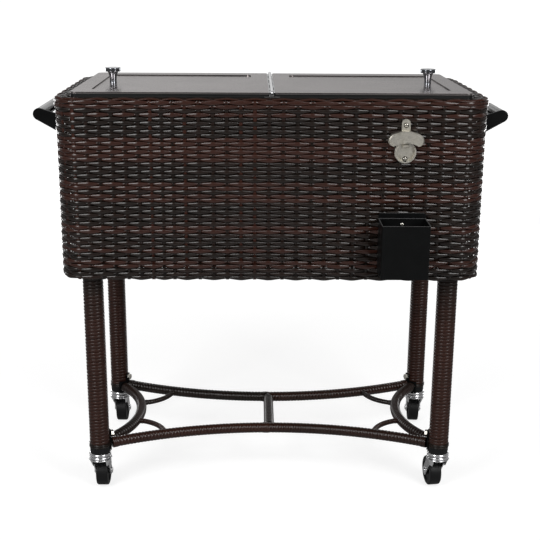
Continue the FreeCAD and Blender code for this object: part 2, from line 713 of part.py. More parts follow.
def make_lid_skin():
    """Right lid's stainless skin: folded edge on three sides and a pressed panel."""
    low, under = LID_TOP_Z - LID_SKIRT, LID_TOP_Z - LID_SHEET
    outer = slab(LID_HX, LID_HY, LID_CORNER, low, LID_TOP_Z)
    outer = fillet_where(outer, LID_EDGE_RADIUS, flat_at(LID_TOP_Z))
    inner = slab(LID_HX - LID_SHEET, LID_HY - LID_SHEET, LID_CORNER - LID_SHEET, low, under)
    skin = lid_half(outer.cut(inner))
    pan_z = LID_TOP_Z - PANEL_RECESS
    skin = skin.fuse(panel_block(LID_SHEET, pan_z - LID_SHEET, under))
    skin = skin.cut(panel_block(0, pan_z, LID_TOP_Z + 1))
    return skin.cut(knob_bore()).removeSplitter()


def knob_x():
    """Distance of the knobs from the middle of the cart."""
    return LID_HX - KNOB_INSET


def knob_bore():
    """Hole for the knob's stud."""
    top = LID_TOP_Z - PANEL_RECESS
    return post(KNOB_STUD_DIAMETER / 2 + PRESS_GAP, knob_x(), 0, top - KNOB_STUD_LENGTH - 1, top + 1)


def make_lid_liner():
    """Right lid's insulated liner: edge flange under the skin and a plug that drops into the tub."""
    edge = LID_SHEET + PRESS_GAP
    flange = slab(LID_HX - edge, LID_HY - edge, LID_CORNER - LID_SHEET, LID_Z, LID_TOP_Z - LID_SHEET)
    flange = lid_half(flange)
    plug_hx, plug_hy = OPEN_HX - LINER_PLUG_END_GAP, OPEN_HY - LINER_PLUG_SIDE_GAP
    plug = slab(plug_hx, plug_hy, TUB_CORNER, LID_Z - LINER_PLUG_HEIGHT, LID_Z)
    plug = fillet_where(plug, LINER_PLUG_EDGE, flat_at(LID_Z - LINER_PLUG_HEIGHT))
    inside = CENTRE_BAR_WIDTH / 2 + LINER_PLUG_SIDE_GAP
    plug = plug.common(box(inside, LID_HX, -LID_HY, LID_HY, 0, LID_Z))
    liner = flange.fuse(plug)
    liner = liner.cut(panel_block(LID_SHEET, LID_TOP_Z - PANEL_RECESS - LID_SHEET, LID_TOP_Z))
    leaf = box(0, LEAF_REACH + PRESS_GAP, -LID_HY, LID_HY, LID_TOP_Z - LID_SHEET - LEAF_SHEET, LID_TOP_Z)
    return liner.cut(leaf).cut(knob_bore()).removeSplitter()


def make_knob():
    """Turned knob: flat cap on a trumpet neck, with the stud that holds it to the right lid."""
    base = LID_TOP_Z - PANEL_RECESS
    x = knob_x()
    foot, neck, cap = KNOB_FOOT_DIAMETER / 2, KNOB_NECK_DIAMETER / 2, KNOB_CAP_DIAMETER / 2
    under = KNOB_HEIGHT - KNOB_CAP_HEIGHT
    waist = (foot * 2 + neck) / 3
    stud, tip = KNOB_STUD_DIAMETER / 2, -KNOB_STUD_LENGTH
    top = KNOB_HEIGHT
    def p(r, z):
        return V(x + r, 0, base + z)
    edges = [
        Part.LineSegment(p(0, tip), p(stud, tip)).toShape(),
        Part.LineSegment(p(stud, tip), p(stud, 0)).toShape(),
        Part.LineSegment(p(stud, 0), p(foot, 0)).toShape(),
        Part.Arc(p(foot, 0), p(waist - 0.8, under * 0.55), p(neck, under)).toShape(),
        Part.LineSegment(p(neck, under), p(cap - 1.5, under)).toShape(),
        Part.Arc(p(cap - 1.5, under), p(cap - 0.44, under + 0.44), p(cap, under + 1.5)).toShape(),
        Part.LineSegment(p(cap, under + 1.5), p(cap, top - 2)).toShape(),
        Part.Arc(p(cap, top - 2), p(cap - 0.5, top - 0.9), p(cap - 1.6, top - 0.4)).toShape(),
        Part.LineSegment(p(cap - 1.6, top - 0.4), p(0, top)).toShape(),
        Part.LineSegment(p(0, top), p(0, tip)).toShape(),
    ]
    return turned(edges, V(x, 0, base), UP)


def knuckle_spans(side):
    """Lengths of rod that one lid's knuckles take, front to back."""
    half = LID_HY - LUG_WIDTH
    pitch = 2 * half / KNUCKLES
    spans = []
    for i in range(KNUCKLES):
        if i % 2 == side:
            spans.append((-half + i * pitch + KNUCKLE_SLIT / 2, -half + (i + 1) * pitch - KNUCKLE_SLIT / 2))
    return spans


def make_leaf(side):
    """One lid's hinge leaf on its half of the knuckles, made for the right lid."""
    half = LID_HY - LUG_WIDTH - KNUCKLE_SLIT
    z1 = LID_TOP_Z - LID_SHEET
    z0 = z1 - LEAF_SHEET
    barrel = BARREL_DIAMETER / 2
    leaf = box(barrel + 1.0, LEAF_REACH, -half, half, z0, z1)
    bore = None
    for y0, y1 in knuckle_spans(side):
        leaf = leaf.fuse(box(0, LEAF_REACH, y0, y1, z0, z1))
        leaf = leaf.fuse(rod(barrel, V(0, y0, HINGE_Z), V(0, y1, HINGE_Z)))
        hole = rod(ROD_DIAMETER / 2 + RUNNING, V(0, y0 - 1, HINGE_Z), V(0, y1 + 1, HINGE_Z))
        bore = hole if bore is None else bore.fuse(hole)
    return leaf.cut(bore).removeSplitter()


def make_rod():
    """Hinge rod with a ball at each end."""
    bar = rod(ROD_DIAMETER / 2, V(0, -LID_HY, HINGE_Z), V(0, LID_HY, HINGE_Z))
    for sy in (-1, 1):
        centre = V(0, sy * (LID_HY + ROD_BALL_DIAMETER * 0.35), HINGE_Z)
        bar = bar.fuse(Part.makeSphere(ROD_BALL_DIAMETER / 2, centre))
    keep = box(-ROD_BALL_DIAMETER, ROD_BALL_DIAMETER, -LID_HY, LID_HY, HINGE_Z - 10, HINGE_Z + 10)
    ends = bar.cut(keep)
    return rod(ROD_DIAMETER / 2, V(0, -LID_HY, HINGE_Z), V(0, LID_HY, HINGE_Z)).fuse(ends).removeSplitter()


def make_centre_bar():
    """Channel across the tub with tabs on the flange and a lug at each end for the rod."""
    half, sheet = CENTRE_BAR_WIDTH / 2, CENTRE_BAR_SHEET
    inner_hy = OPEN_HY - TUB_DRAFT * (CENTRE_BAR_HEIGHT / (FLANGE_TOP_Z - FLOOR_Z)) - SEAT_GAP
    z0, z1 = GASKET_TOP_Z - CENTRE_BAR_HEIGHT, GASKET_TOP_Z
    channel = box(-half, half, -inner_hy, inner_hy, z0, z1)
    channel = channel.cut(box(-half + sheet, half - sheet, -inner_hy, inner_hy, z0, z1 - sheet))
    bar = channel.fuse(box(-half, half, -LID_HY, LID_HY, FLANGE_TOP_Z, z1))
    r = BARREL_DIAMETER / 2
    for sy in (-1, 1):
        y0, y1 = sy * (LID_HY - LUG_WIDTH), sy * LID_HY
        bar = bar.fuse(box(-r, r, y0, y1, FLANGE_TOP_Z, HINGE_Z))
        bar = bar.fuse(rod(r, V(0, y0, HINGE_Z), V(0, y1, HINGE_Z)))
    bore = rod(ROD_DIAMETER / 2, V(0, -LID_HY - 1, HINGE_Z), V(0, LID_HY + 1, HINGE_Z))
    return bar.cut(bore).removeSplitter()


def tangent_point(centre, radius, point, side):
    """Where a line from a point touches a circle, in plan coordinates of the arm's plate."""
    dx, dz = point[0] - centre[0], point[1] - centre[1]
    a = math.atan2(dz, dx) + side * math.acos(radius / math.hypot(dx, dz))
    return centre[0] + radius * math.cos(a), centre[1] + radius * math.sin(a)


def make_arms():
    """Right handle's two plate arms, each with the tab that its screws hold to the wall."""
    centre, r = (BODY_HX + GRIP_REACH, GRIP_Z), ARM_END_DIAMETER / 2
    top = (BODY_HX, GRIP_Z - ARM_ROOT_DROP)
    low = (BODY_HX, GRIP_Z - ARM_ROOT_DROP - ARM_ROOT_HEIGHT)
    t_top = tangent_point(centre, r, top, -1)
    t_low = tangent_point(centre, r, low, 1)
    nose = (centre[0] + r * math.cos(math.radians(-10)), centre[1] + r * math.sin(math.radians(-10)))
    arms = []
    for sy in (-1, 1):
        y0 = sy * (HANDLE_SPAN - ARM_THICKNESS) / 2
        def p(q):
            return V(q[0], y0, q[1])
        outline = [
            Part.LineSegment(p(low), p(top)).toShape(),
            Part.LineSegment(p(top), p(t_top)).toShape(),
            Part.Arc(p(t_top), p(nose), p(t_low)).toShape(),
            Part.LineSegment(p(t_low), p(low)).toShape(),
        ]
        arm = Part.Face(Part.Wire(outline)).extrude(V(0, sy * ARM_THICKNESS, 0))
        tab = box(BODY_HX, BODY_HX + ARM_TAB_SHEET, y0, y0 - sy * ARM_TAB_WIDTH, low[1], top[1])
        inner = upright_at(y0 - sy * ARM_TAB_WIDTH)
        tab = fillet_where(tab, ARM_TAB_WIDTH * 0.3, lambda e: inner(e) and e.BoundBox.ZLength < 1e-4)
        arms.append(arm.fuse(tab).removeSplitter())
    holes = Part.makeCompound([screw_hole(*p, ARM_TAB_SHEET) for p in handle_screw_points() if p[0] > 0])
    return Part.makeCompound([s for a in arms for s in a.cut(holes).Solids])


def make_grip():
    """Right handle's tube between its arms."""
    half = HANDLE_SPAN / 2 - ARM_THICKNESS / 2
    x = BODY_HX + GRIP_REACH
    return rod(GRIP_DIAMETER / 2, V(x, -half, GRIP_Z), V(x, half, GRIP_Z))


def front_plate(edges, depth):
    """Plate raised forwards from an outline drawn on the front wall."""
    return Part.Face(Part.Wire(edges)).extrude(V(0, -depth, 0))


def hood_outline(y, inset):
    """Outline of the opener's hood, drawn in by a wall except along its open lower edge."""
    x0, z0 = FITTING_X, RIM_TOP_Z - OPENER_DROP
    w = OPENER_HOOD_WIDTH / 2 - inset
    top = OPENER_HOOD_TOP - inset
    fall = OPENER_HOOD_FALL
    def p(x, z):
        return V(x0 + x, y, z0 + z)
    neck, shoulder = OPENER_TAB_WIDTH / 2, w * 0.7
    foot = w * 0.76
    return [
        Part.LineSegment(p(-neck, top), p(neck, top)).toShape(),
        Part.LineSegment(p(neck, top), p(shoulder, top * 0.76)).toShape(),
        Part.Arc(p(shoulder, top * 0.76), p(w * 0.93, top * 0.45), p(w, top * 0.16)).toShape(),
        Part.Arc(p(w, top * 0.16), p(w * 0.94, -fall * 0.6), p(foot, -fall)).toShape(),
        Part.Arc(p(foot, -fall), p(0, -fall * 0.25), p(-foot, -fall)).toShape(),
        Part.Arc(p(-foot, -fall), p(-w * 0.94, -fall * 0.6), p(-w, top * 0.16)).toShape(),
        Part.Arc(p(-w, top * 0.16), p(-w * 0.93, top * 0.45), p(-shoulder, top * 0.76)).toShape(),
        Part.LineSegment(p(-shoulder, top * 0.76), p(-neck, top)).toShape(),
    ]


def make_opener():
    """Cast wall-mounted opener: tab, hood over the mouth, and a lipped disc with a tooth."""
    x, y, z = FITTING_X, -BODY_HY, RIM_TOP_Z - OPENER_DROP
    tab = OPENER_TAB_WIDTH / 2
    disc_z, disc = z - OPENER_DISC_DROP, OPENER_DISC_DIAMETER / 2
    face = y - OPENER_PLATE
    plate = rod(disc, V(x, y, disc_z), V(x, face, disc_z))
    plate = plate.fuse(box(x - tab, x + tab, y, face, disc_z, z + OPENER_TAB_TOP - tab))
    plate = plate.fuse(rod(tab, V(x, y, z + OPENER_TAB_TOP - tab), V(x, face, z + OPENER_TAB_TOP - tab)))
    lip = rod(disc, V(x, face, disc_z), V(x, face - OPENER_LIP_HEIGHT, disc_z))
    lip = lip.cut(rod(disc - OPENER_LIP_WIDTH, V(x, face, disc_z), V(x, face - OPENER_LIP_HEIGHT, disc_z)))
    lip = lip.cut(box(x - disc, x + disc, y, y - OPENER_HOOD_DEPTH, disc_z + disc * 0.45, z + OPENER_TAB_TOP))
    wide, tip = OPENER_TOOTH_WIDTH / 2, face - OPENER_TOOTH_HEIGHT
    tooth = box(x - wide, x + wide, face, tip, disc_z + disc * 0.45, disc_z + disc * 0.7)
    tooth = fillet_where(tooth, 1.5, upright_at(tip))
    front = y - OPENER_HOOD_DEPTH
    hood = front_plate(hood_outline(y, 0), OPENER_HOOD_DEPTH - OPENER_HOOD_BEVEL)
    shoulder = Part.Wire(hood_outline(front + OPENER_HOOD_BEVEL, 0))
    crest = Part.Wire(hood_outline(front, OPENER_HOOD_BEVEL))
    hood = hood.fuse(Part.makeLoft([shoulder, crest], True, True))
    depth = OPENER_HOOD_DEPTH - OPENER_PLATE - OPENER_HOOD_WALL
    room = front_plate(hood_outline(face, OPENER_HOOD_WALL), depth)
    below = room.copy()
    below.translate(V(0, 0, -OPENER_HOOD_FALL))
    hood = hood.cut(room.fuse(below))
    body = plate.fuse([lip, tooth, hood]).removeSplitter()
    holes = [screw_hole(*p, OPENER_PLATE + OPENER_HOOD_DEPTH) for p in front_screw_points()["opener"]]
    return body.cut(Part.makeCompound(holes))


def make_catcher():
    """Folded sheet box, open at the top, with a taller back that its screw holds to the wall."""
    x, y = FITTING_X, -BODY_HY
    half, t = CATCHER_WIDTH / 2, CATCHER_SHEET
    z0 = BODY_Z + CATCHER_RISE
    z1 = z0 + CATCHER_HEIGHT
    front = y - CATCHER_DEPTH
    outer = box(x - half, x + half, y, front, z0, z1)
    inner = box(x - half + t, x + half - t, y - t, front + t, z0 + t, z1)
    outside, inside = upright_at(front), upright_at(front + t)
    outer = fillet_where(outer, CATCHER_CORNER, lambda e: outside(e) and e.BoundBox.ZLength > 1)
    inner = fillet_where(inner, CATCHER_CORNER - t, lambda e: inside(e) and e.BoundBox.ZLength > 1)
    back = box(x - half, x + half, y, y - t, z0, z1 + CATCHER_BACK_RISE)
    back = fillet_where(back, CATCHER_CORNER, lambda e: e.BoundBox.YLength > t / 2 and e.BoundBox.ZMin > z1)
    holes = [screw_hole(*p, CATCHER_SHEET) for p in front_screw_points()["catcher"]]
    return outer.cut(inner).fuse(back).cut(Part.makeCompound(holes)).removeSplitter()


def make_drain_spout():
    """Threaded drain tube with a flange that lies flush in the tub floor."""
    r = DRAIN_TUBE_DIAMETER / 2
    low = BODY_Z - DRAIN_TUBE_BELOW
    spout = post(r, DRAIN_X, 0, low, FLOOR_Z)
    spout = spout.fuse(post(DRAIN_FLANGE_DIAMETER / 2, DRAIN_X, 0, FLOOR_Z - DRAIN_FLANGE, FLOOR_Z))
    return spout.cut(post(r - DRAIN_TUBE_WALL, DRAIN_X, 0, low, FLOOR_Z)).removeSplitter()


def make_drain_nut():
    """Lock nut that pulls the spout up against the case."""
    low = CASE_Z - DRAIN_NUT_HEIGHT
    nut = hexagon(DRAIN_NUT_ACROSS, DRAIN_X, 0, low, CASE_Z)
    return nut.cut(post(DRAIN_TUBE_DIAMETER / 2 + PRESS_GAP, DRAIN_X, 0, low, CASE_Z))


def make_drain_cap():
    """Ribbed screw cap over the end of the spout."""
    low = BODY_Z - DRAIN_TUBE_BELOW
    bottom = low - SEAT_GAP - DRAIN_CAP_WALL
    r = DRAIN_TUBE_DIAMETER / 2 + RUNNING + DRAIN_CAP_WALL
    cap = rod(r, V(DRAIN_X, 0, bottom), V(DRAIN_X, 0, bottom + DRAIN_CAP_HEIGHT))
    ribs = []
    for i in range(DRAIN_CAP_RIBS):
        a = 2 * math.pi * i / DRAIN_CAP_RIBS
        foot = V(DRAIN_X + r * math.cos(a), r * math.sin(a), bottom)
        ribs.append(rod(DRAIN_CAP_RIB_DIAMETER / 2, foot, foot + V(0, 0, DRAIN_CAP_HEIGHT)))
    cap = cap.fuse(ribs)
    bore = post(DRAIN_TUBE_DIAMETER / 2 + RUNNING, DRAIN_X, 0, low - SEAT_GAP, bottom + DRAIN_CAP_HEIGHT)
    return cap.cut(bore).removeSplitter()


def race_ring(z0, height):
    """Rounded ring of the swivel bearing, solid to its axis."""
    r = RACE_DIAMETER / 2
    low, mid, top = V(r - RACE_BULGE, 0, z0), V(r, 0, z0 + height / 2), V(r - RACE_BULGE, 0, z0 + height)
    edges = [
        Part.LineSegment(V(0, 0, z0), low).toShape(),
        Part.Arc(low, mid, top).toShape(),
        Part.LineSegment(top, V(0, 0, z0 + height)).toShape(),
        Part.LineSegment(V(0, 0, z0 + height), V(0, 0, z0)).toShape(),
    ]
    return turned(edges, HOME, UP)


def make_stem():
    """Caster stem with its upper race cup, and the king pin that the fork hangs on."""
    cup = race_ring(CUP_Z, CUP_HEIGHT)
    stem = rod(STEM_DIAMETER / 2, V(0, 0, COLLAR_Z), V(0, 0, COLLAR_Z + STEM_LENGTH))
    head_top = CROWN_Z - SEAT_GAP
    pin = rod(KING_PIN_DIAMETER / 2, V(0, 0, head_top), V(0, 0, CUP_Z))
    head = rod(KING_HEAD_DIAMETER / 2, V(0, 0, head_top - KING_HEAD_HEIGHT), V(0, 0, head_top))
    head = fillet_where(head, KING_HEAD_HEIGHT * 0.5, flat_at(head_top - KING_HEAD_HEIGHT))
    return cup.fuse([stem, pin, head]).removeSplitter()


def fork_skirt(inner):
    """Drawn skirt under the fork's crown: a tapered cup, open in front and behind for the wheel."""
    top, low = CROWN_DIAMETER / 2 - FORK_SHEET * 0.45, inner + FORK_SHEET + SKIRT_FLARE
    z = CROWN_Z - SKIRT_HEIGHT
    cup = Part.makeCone(low, top, SKIRT_HEIGHT, V(0, 0, z))
    hollow = Part.makeCone(low - FORK_SHEET, top - FORK_SHEET, SKIRT_HEIGHT, V(0, 0, z))
    return cup.cut(hollow).cut(box(-inner, inner, -CROWN_DIAMETER, CROWN_DIAMETER, z - 1, CROWN_Z))


def make_fork():
    """Pressed caster fork: crown with the lower race, skirt, and two cheeks that rake back to the axle."""
    inner = WHEEL_WIDTH / 2 + WHEEL_SIDE_GAP
    crown = rod(CROWN_DIAMETER / 2, V(0, 0, CROWN_Z), V(0, 0, RACE_Z))
    crown = fillet_where(crown, FORK_SHEET * 0.45, lambda e: isinstance(e.Curve, Part.Circle))
    fork = crown.fuse([race_ring(RACE_Z, RACE_RING_HEIGHT), fork_skirt(inner)])
    reach = math.sqrt((CROWN_DIAMETER / 2) ** 2 - (inner + FORK_SHEET) ** 2) - 1.0
    boss = FORK_BOSS_DIAMETER / 2
    back = tangent_point((CASTER_TRAIL, AXLE_Z), boss, (reach, CROWN_Z), -1)
    a = math.radians(200)
    throat = (CASTER_TRAIL + boss * math.cos(a), AXLE_Z + boss * math.sin(a))
    heel = (CASTER_TRAIL + boss * math.cos(math.radians(290)), AXLE_Z + boss * math.sin(math.radians(290)))
    bend = ((throat[0] - reach) / 2 + 4.0, (throat[1] + CROWN_Z) / 2)
    for sx in (-1, 1):
        def p(q):
            return V(sx * inner, q[0], q[1])
        outline = [
            Part.LineSegment(p((-reach, CROWN_Z)), p((reach, CROWN_Z))).toShape(),
            Part.LineSegment(p((reach, CROWN_Z)), p(back)).toShape(),
            Part.Arc(p(back), p(heel), p(throat)).toShape(),
            Part.Arc(p(throat), p(bend), p((-reach, CROWN_Z))).toShape(),
        ]
        fork = fork.fuse(Part.Face(Part.Wire(outline)).extrude(V(sx * FORK_SHEET, 0, 0)))
    fork = fork.cut(rod(KING_PIN_DIAMETER / 2 + RUNNING, V(0, 0, CROWN_Z - 1), V(0, 0, CUP_Z)))
    wide = inner + FORK_SHEET + 1
    axle = rod(AXLE_DIAMETER / 2, V(-wide, CASTER_TRAIL, AXLE_Z), V(wide, CASTER_TRAIL, AXLE_Z))
    return fork.cut(axle).removeSplitter()


def make_axle():
    """Riveted axle with a domed head outside each cheek."""
    side = WHEEL_WIDTH / 2 + WHEEL_SIDE_GAP + FORK_SHEET
    axle = rod(AXLE_DIAMETER / 2, V(-side, CASTER_TRAIL, AXLE_Z), V(side, CASTER_TRAIL, AXLE_Z))
    for sx in (-1, 1):
        seat = V(sx * side, CASTER_TRAIL, AXLE_Z)
        end = seat + EAST * (sx * AXLE_HEAD_HEIGHT)
        head = round_end(rod(AXLE_HEAD_DIAMETER / 2, seat, end), end, AXLE_HEAD_HEIGHT * 0.6)
        axle = axle.fuse(head)
    return axle.removeSplitter()


def make_wheel():
    """Moulded wheel: rounded tread, dished sides, hub boss and bore."""
    half, r = WHEEL_WIDTH / 2, WHEEL_DIAMETER / 2
    wheel = rod(r, V(-half, CASTER_TRAIL, AXLE_Z), V(half, CASTER_TRAIL, AXLE_Z))
    wheel = fillet_where(wheel, WHEEL_SHOULDER, lambda e: isinstance(e.Curve, Part.Circle))
    for sx in (-1, 1):
        face = V(sx * half, CASTER_TRAIL, AXLE_Z)
        floor = face - EAST * (sx * HUB_RECESS_DEPTH)
        dish = rod(HUB_RECESS_DIAMETER / 2, floor, face).cut(rod(HUB_BOSS_DIAMETER / 2, floor, face))
        wheel = wheel.cut(dish)
    left, right = V(-half - 1, CASTER_TRAIL, AXLE_Z), V(half + 1, CASTER_TRAIL, AXLE_Z)
    return wheel.cut(rod(AXLE_DIAMETER / 2 + RUNNING, left, right))


def build():
    """Every piece of the cart by name."""
    nodes = {
        "inner_tub": make_tub(),
        "foam_insulation": make_foam(),
        "outer_case": make_case_wall(),
        "case_floor": make_case_floor(),
        "lid_gasket": make_gasket(),
        "steel_frame": make_frame(),
        "wicker_shell": make_shell(),
        "wicker_rim": make_rim(),
        "centre_bar": make_centre_bar(),
        "hinge_rod": make_rod(),
        "foot_plugs": make_plugs(),
        "saddle_brackets": make_saddles(),
        "bracket_bolts": make_bolts(),
        "bottle_opener": make_opener(),
        "cap_catcher": make_catcher(),
        "drain_spout": make_drain_spout(),
        "drain_nut": make_drain_nut(),
        "drain_cap": make_drain_cap(),
    }
    nodes.update(make_stretcher_frame())
    skin, liner, knob = make_lid_skin(), make_lid_liner(), make_knob()
    arms, grip = make_arms(), make_grip()
    nodes.update({
        "lid_skin_right": skin,
        "lid_liner_right": liner,
        "knob_right": knob,
        "hinge_leaf_right": make_leaf(0),
        "lid_skin_left": mirrored(skin),
        "lid_liner_left": mirrored(liner),
        "knob_left": mirrored(knob),
        "hinge_leaf_left": mirrored(make_leaf(1)),
        "handle_arms_right": arms,
        "handle_grip_right": grip,
        "handle_arms_left": mirrored(arms),
        "handle_grip_left": mirrored(grip),
    })
    places = front_screw_points()
    screws = [wall_screw(*p, OPENER_PLATE) for p in places["opener"]]
    screws += [wall_screw(*p, CATCHER_SHEET) for p in places["catcher"]]
    nodes["front_screws"] = Part.makeCompound(screws)
    nodes["handle_screws"] = Part.makeCompound([wall_screw(*p, ARM_TAB_SHEET) for p in handle_screw_points()])
    stem, fork, axle, wheel = make_stem(), make_fork(), make_axle(), make_wheel()
    nodes["caster_stems"] = Part.makeCompound([at_corner(stem, corner) for corner in CORNERS])
    for corner, turn in FORK_TURNS.items():
        nodes["leg_tube_" + corner] = make_leg_tube(corner)
        nodes["leg_wrap_" + corner] = make_leg_wrap(corner)
        nodes["fork_" + corner] = at_corner(fork, corner, turn)
        nodes["axle_" + corner] = at_corner(axle, corner, turn)
        nodes["wheel_" + corner] = at_corner(wheel, corner, turn)
    return nodes


def main():
    """Writes each piece to parts/ and prints what was made."""
    os.makedirs("parts", exist_ok=True)
    nodes = build()
    for name, shape in sorted(nodes.items()):
        shape.exportStep("parts/" + name + ".step")
        volume = round(sum(s.Volume for s in shape.Solids) / 1000, 2)
        print(name, len(shape.Solids), "solid(s)", volume, "cm3", "valid" if shape.isValid() else "NOT VALID")
    print(len(nodes), "pieces")


main()
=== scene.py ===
"""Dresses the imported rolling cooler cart: woven body, wound legs and rails, steel lids, casters and studio.

Lengths of the pieces are millimetres in the cart's own frame; finishes and the studio are in metres.
"""

import logging
import math
from dataclasses import dataclass, field, replace
from enum import Enum
from typing import Callable, Optional, Sequence

import bpy
import numpy as np
from mathutils import Matrix, Vector


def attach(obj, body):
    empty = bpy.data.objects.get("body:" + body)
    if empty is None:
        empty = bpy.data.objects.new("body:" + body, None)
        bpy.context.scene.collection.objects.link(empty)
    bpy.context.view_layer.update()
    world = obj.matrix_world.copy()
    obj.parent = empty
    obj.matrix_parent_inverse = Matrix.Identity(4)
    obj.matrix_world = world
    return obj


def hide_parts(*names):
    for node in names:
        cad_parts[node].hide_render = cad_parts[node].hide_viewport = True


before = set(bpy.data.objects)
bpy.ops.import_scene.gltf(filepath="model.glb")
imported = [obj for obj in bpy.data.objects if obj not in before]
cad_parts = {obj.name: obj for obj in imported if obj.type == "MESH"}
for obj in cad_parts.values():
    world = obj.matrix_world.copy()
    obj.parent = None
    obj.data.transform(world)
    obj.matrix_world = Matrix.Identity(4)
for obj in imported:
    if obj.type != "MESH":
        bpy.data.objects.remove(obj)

LOG = logging.getLogger("cooler_cart")
MM = 0.001
ARC_SAMPLES = 4000
Array = np.ndarray
Colour = tuple[float, float, float]
Point = tuple[float, float, float]
Cells = tuple[float, float, float]
Pair = tuple[float, float]
Material = bpy.types.Material
Piece = bpy.types.Object
PathFrame = tuple[Array, Array, Array, Array]
Path = Callable[[Array], PathFrame]
Tint = float | Callable[[Array], Array]
Socket = bpy.types.NodeSocket
Value = float | Sequence[float] | Socket


class Tone(Enum):
    """The resin colours that the body is woven from; values between two of them are blends."""

    BLACK = 0.0
    BROWN = 1.0
    RUST = 2.0


class Corner(Enum):
    """The four legs, with the signs of their places."""

    FRONT_LEFT = (-1, -1)
    FRONT_RIGHT = (1, -1)
    REAR_LEFT = (-1, 1)
    REAR_RIGHT = (1, 1)

    @property
    def key(self) -> str:
        """Name of the corner as it stands in the node names."""
        return self.name.lower()


class Shader:
    """A material's node tree, built by short calls that take and give sockets."""

    def __init__(self, name: str) -> None:
        """Starts an empty principled material.

        Args:
            name: Name of the material.
        """
        self.material = bpy.data.materials.new(name)
        self.material.use_nodes = True
        self.tree = self.material.node_tree
        self.tree.nodes.clear()
        out = self.tree.nodes.new("ShaderNodeOutputMaterial")
        self.surface = self.tree.nodes.new("ShaderNodeBsdfPrincipled")
        self.tree.links.new(self.surface.outputs["BSDF"], out.inputs["Surface"])

    def _feed(self, target: Socket, value: Value) -> None:
        """Links an input to an output socket, or sets it to a value.

        Args:
            target: The input.
            value: Output socket, number, colour or vector.
        """
        if isinstance(value, Socket):
            self.tree.links.new(value, target)
        else:
            target.default_value = value

    def node(self, kind: str, props: Optional[dict] = None, **inputs: Value) -> bpy.types.Node:
        """Adds a node, sets its properties and feeds its inputs.

        Args:
            kind: Node type without its ShaderNode prefix.
            props: Node properties by name.
            **inputs: What feeds each input, with spaces in socket names written as underscores.

        Returns:
            The new node.
        """
        made = self.tree.nodes.new("ShaderNode" + kind)
        for key, value in (props or {}).items():
            setattr(made, key, value)
        for key, value in inputs.items():
            self._feed(made.inputs[key.replace("_", " ")], value)
        return made

    def dress(self, **inputs: Value) -> Material:
        """Feeds the surface shader's own inputs.

        Args:
            **inputs: What feeds each input, with spaces in socket names written as underscores.

        Returns:
            The finished material.
        """
        for key, value in inputs.items():
            self._feed(self.surface.inputs[key.replace("_", " ")], value)
        return self.material

    def axis(self, letter: str) -> Socket:
        """One coordinate of the piece's own frame."""
        place = self.node("TexCoord").outputs["Object"]
        return self.node("SeparateXYZ", Vector=place).outputs[letter]

    def scaled(self, source: str, scale: Sequence[float]) -> Socket:
        """Object or UV coordinates, scaled along each axis."""
        place = self.node("TexCoord").outputs[source]
        return self.node("Mapping", Vector=place, Scale=scale).outputs["Vector"]

    def noise(self, source: str, scale: Sequence[float], detail: float) -> Socket:
        """Noise on scaled coordinates.

        Args:
            source: Object or UV.
            scale: Cells per metre, or per UV unit, along each axis.
            detail: Octaves.

        Returns:
            The noise's strength.
        """
        place = self.scaled(source, scale)
        return self.node("TexNoise", Vector=place, Scale=1.0, Detail=detail, Roughness=0.55).outputs[0]

    def ramp(self, value: Socket, start: float, end: float, low: float = 0.0, high: float = 1.0) -> Socket:
        """Maps the range from start to end onto the range from low to high, and holds it beyond.

        Args:
            value: What is mapped.
            start: Where the ramp begins.
            end: Where it ends.
            low: Result at its start.
            high: Result at its end.

        Returns:
            The mapped value.
        """
        span = self.node("MapRange", Value=value, From_Min=start, From_Max=end, To_Min=low, To_Max=high)
        return span.outputs["Result"]

    def spread(self, noise: Socket, low: float = 0.0, high: float = 1.0) -> Socket:
        """Maps a noise's middle range onto two values."""
        return self.ramp(noise, 0.3, 0.7, low, high)

    def math(self, operation: str, *values: Value) -> Socket:
        """Result of one arithmetic step on the values."""
        made = self.node("Math", {"operation": operation})
        for target, value in zip(made.inputs, values):
            self._feed(target, value)
        return made.outputs[0]

    def mix(self, share: Socket, low: Value, high: Value) -> Socket:
        """Colour between two colours, by a share."""
        return self.node("Mix", {"data_type": "RGBA"}, Factor=share, A=low, B=high).outputs["Result"]

    def bump(self, height: Socket, distance: float, strength: float) -> Socket:
        """Normal of a surface whose relief follows a height, to a depth in metres and by a share."""
        return self.node("Bump", Strength=strength, Distance=distance, Height=height).outputs["Normal"]


def shade(colour: Colour, share: float = 1.0) -> tuple[float, float, float, float]:
    """A colour with full cover, made darker or lighter by a share."""
    return (*(min(1.0, c * share) for c in colour), 1.0)


def grey(level: float) -> tuple[float, float, float, float]:
    """A grey with full cover."""
    return (level, level, level, 1.0)


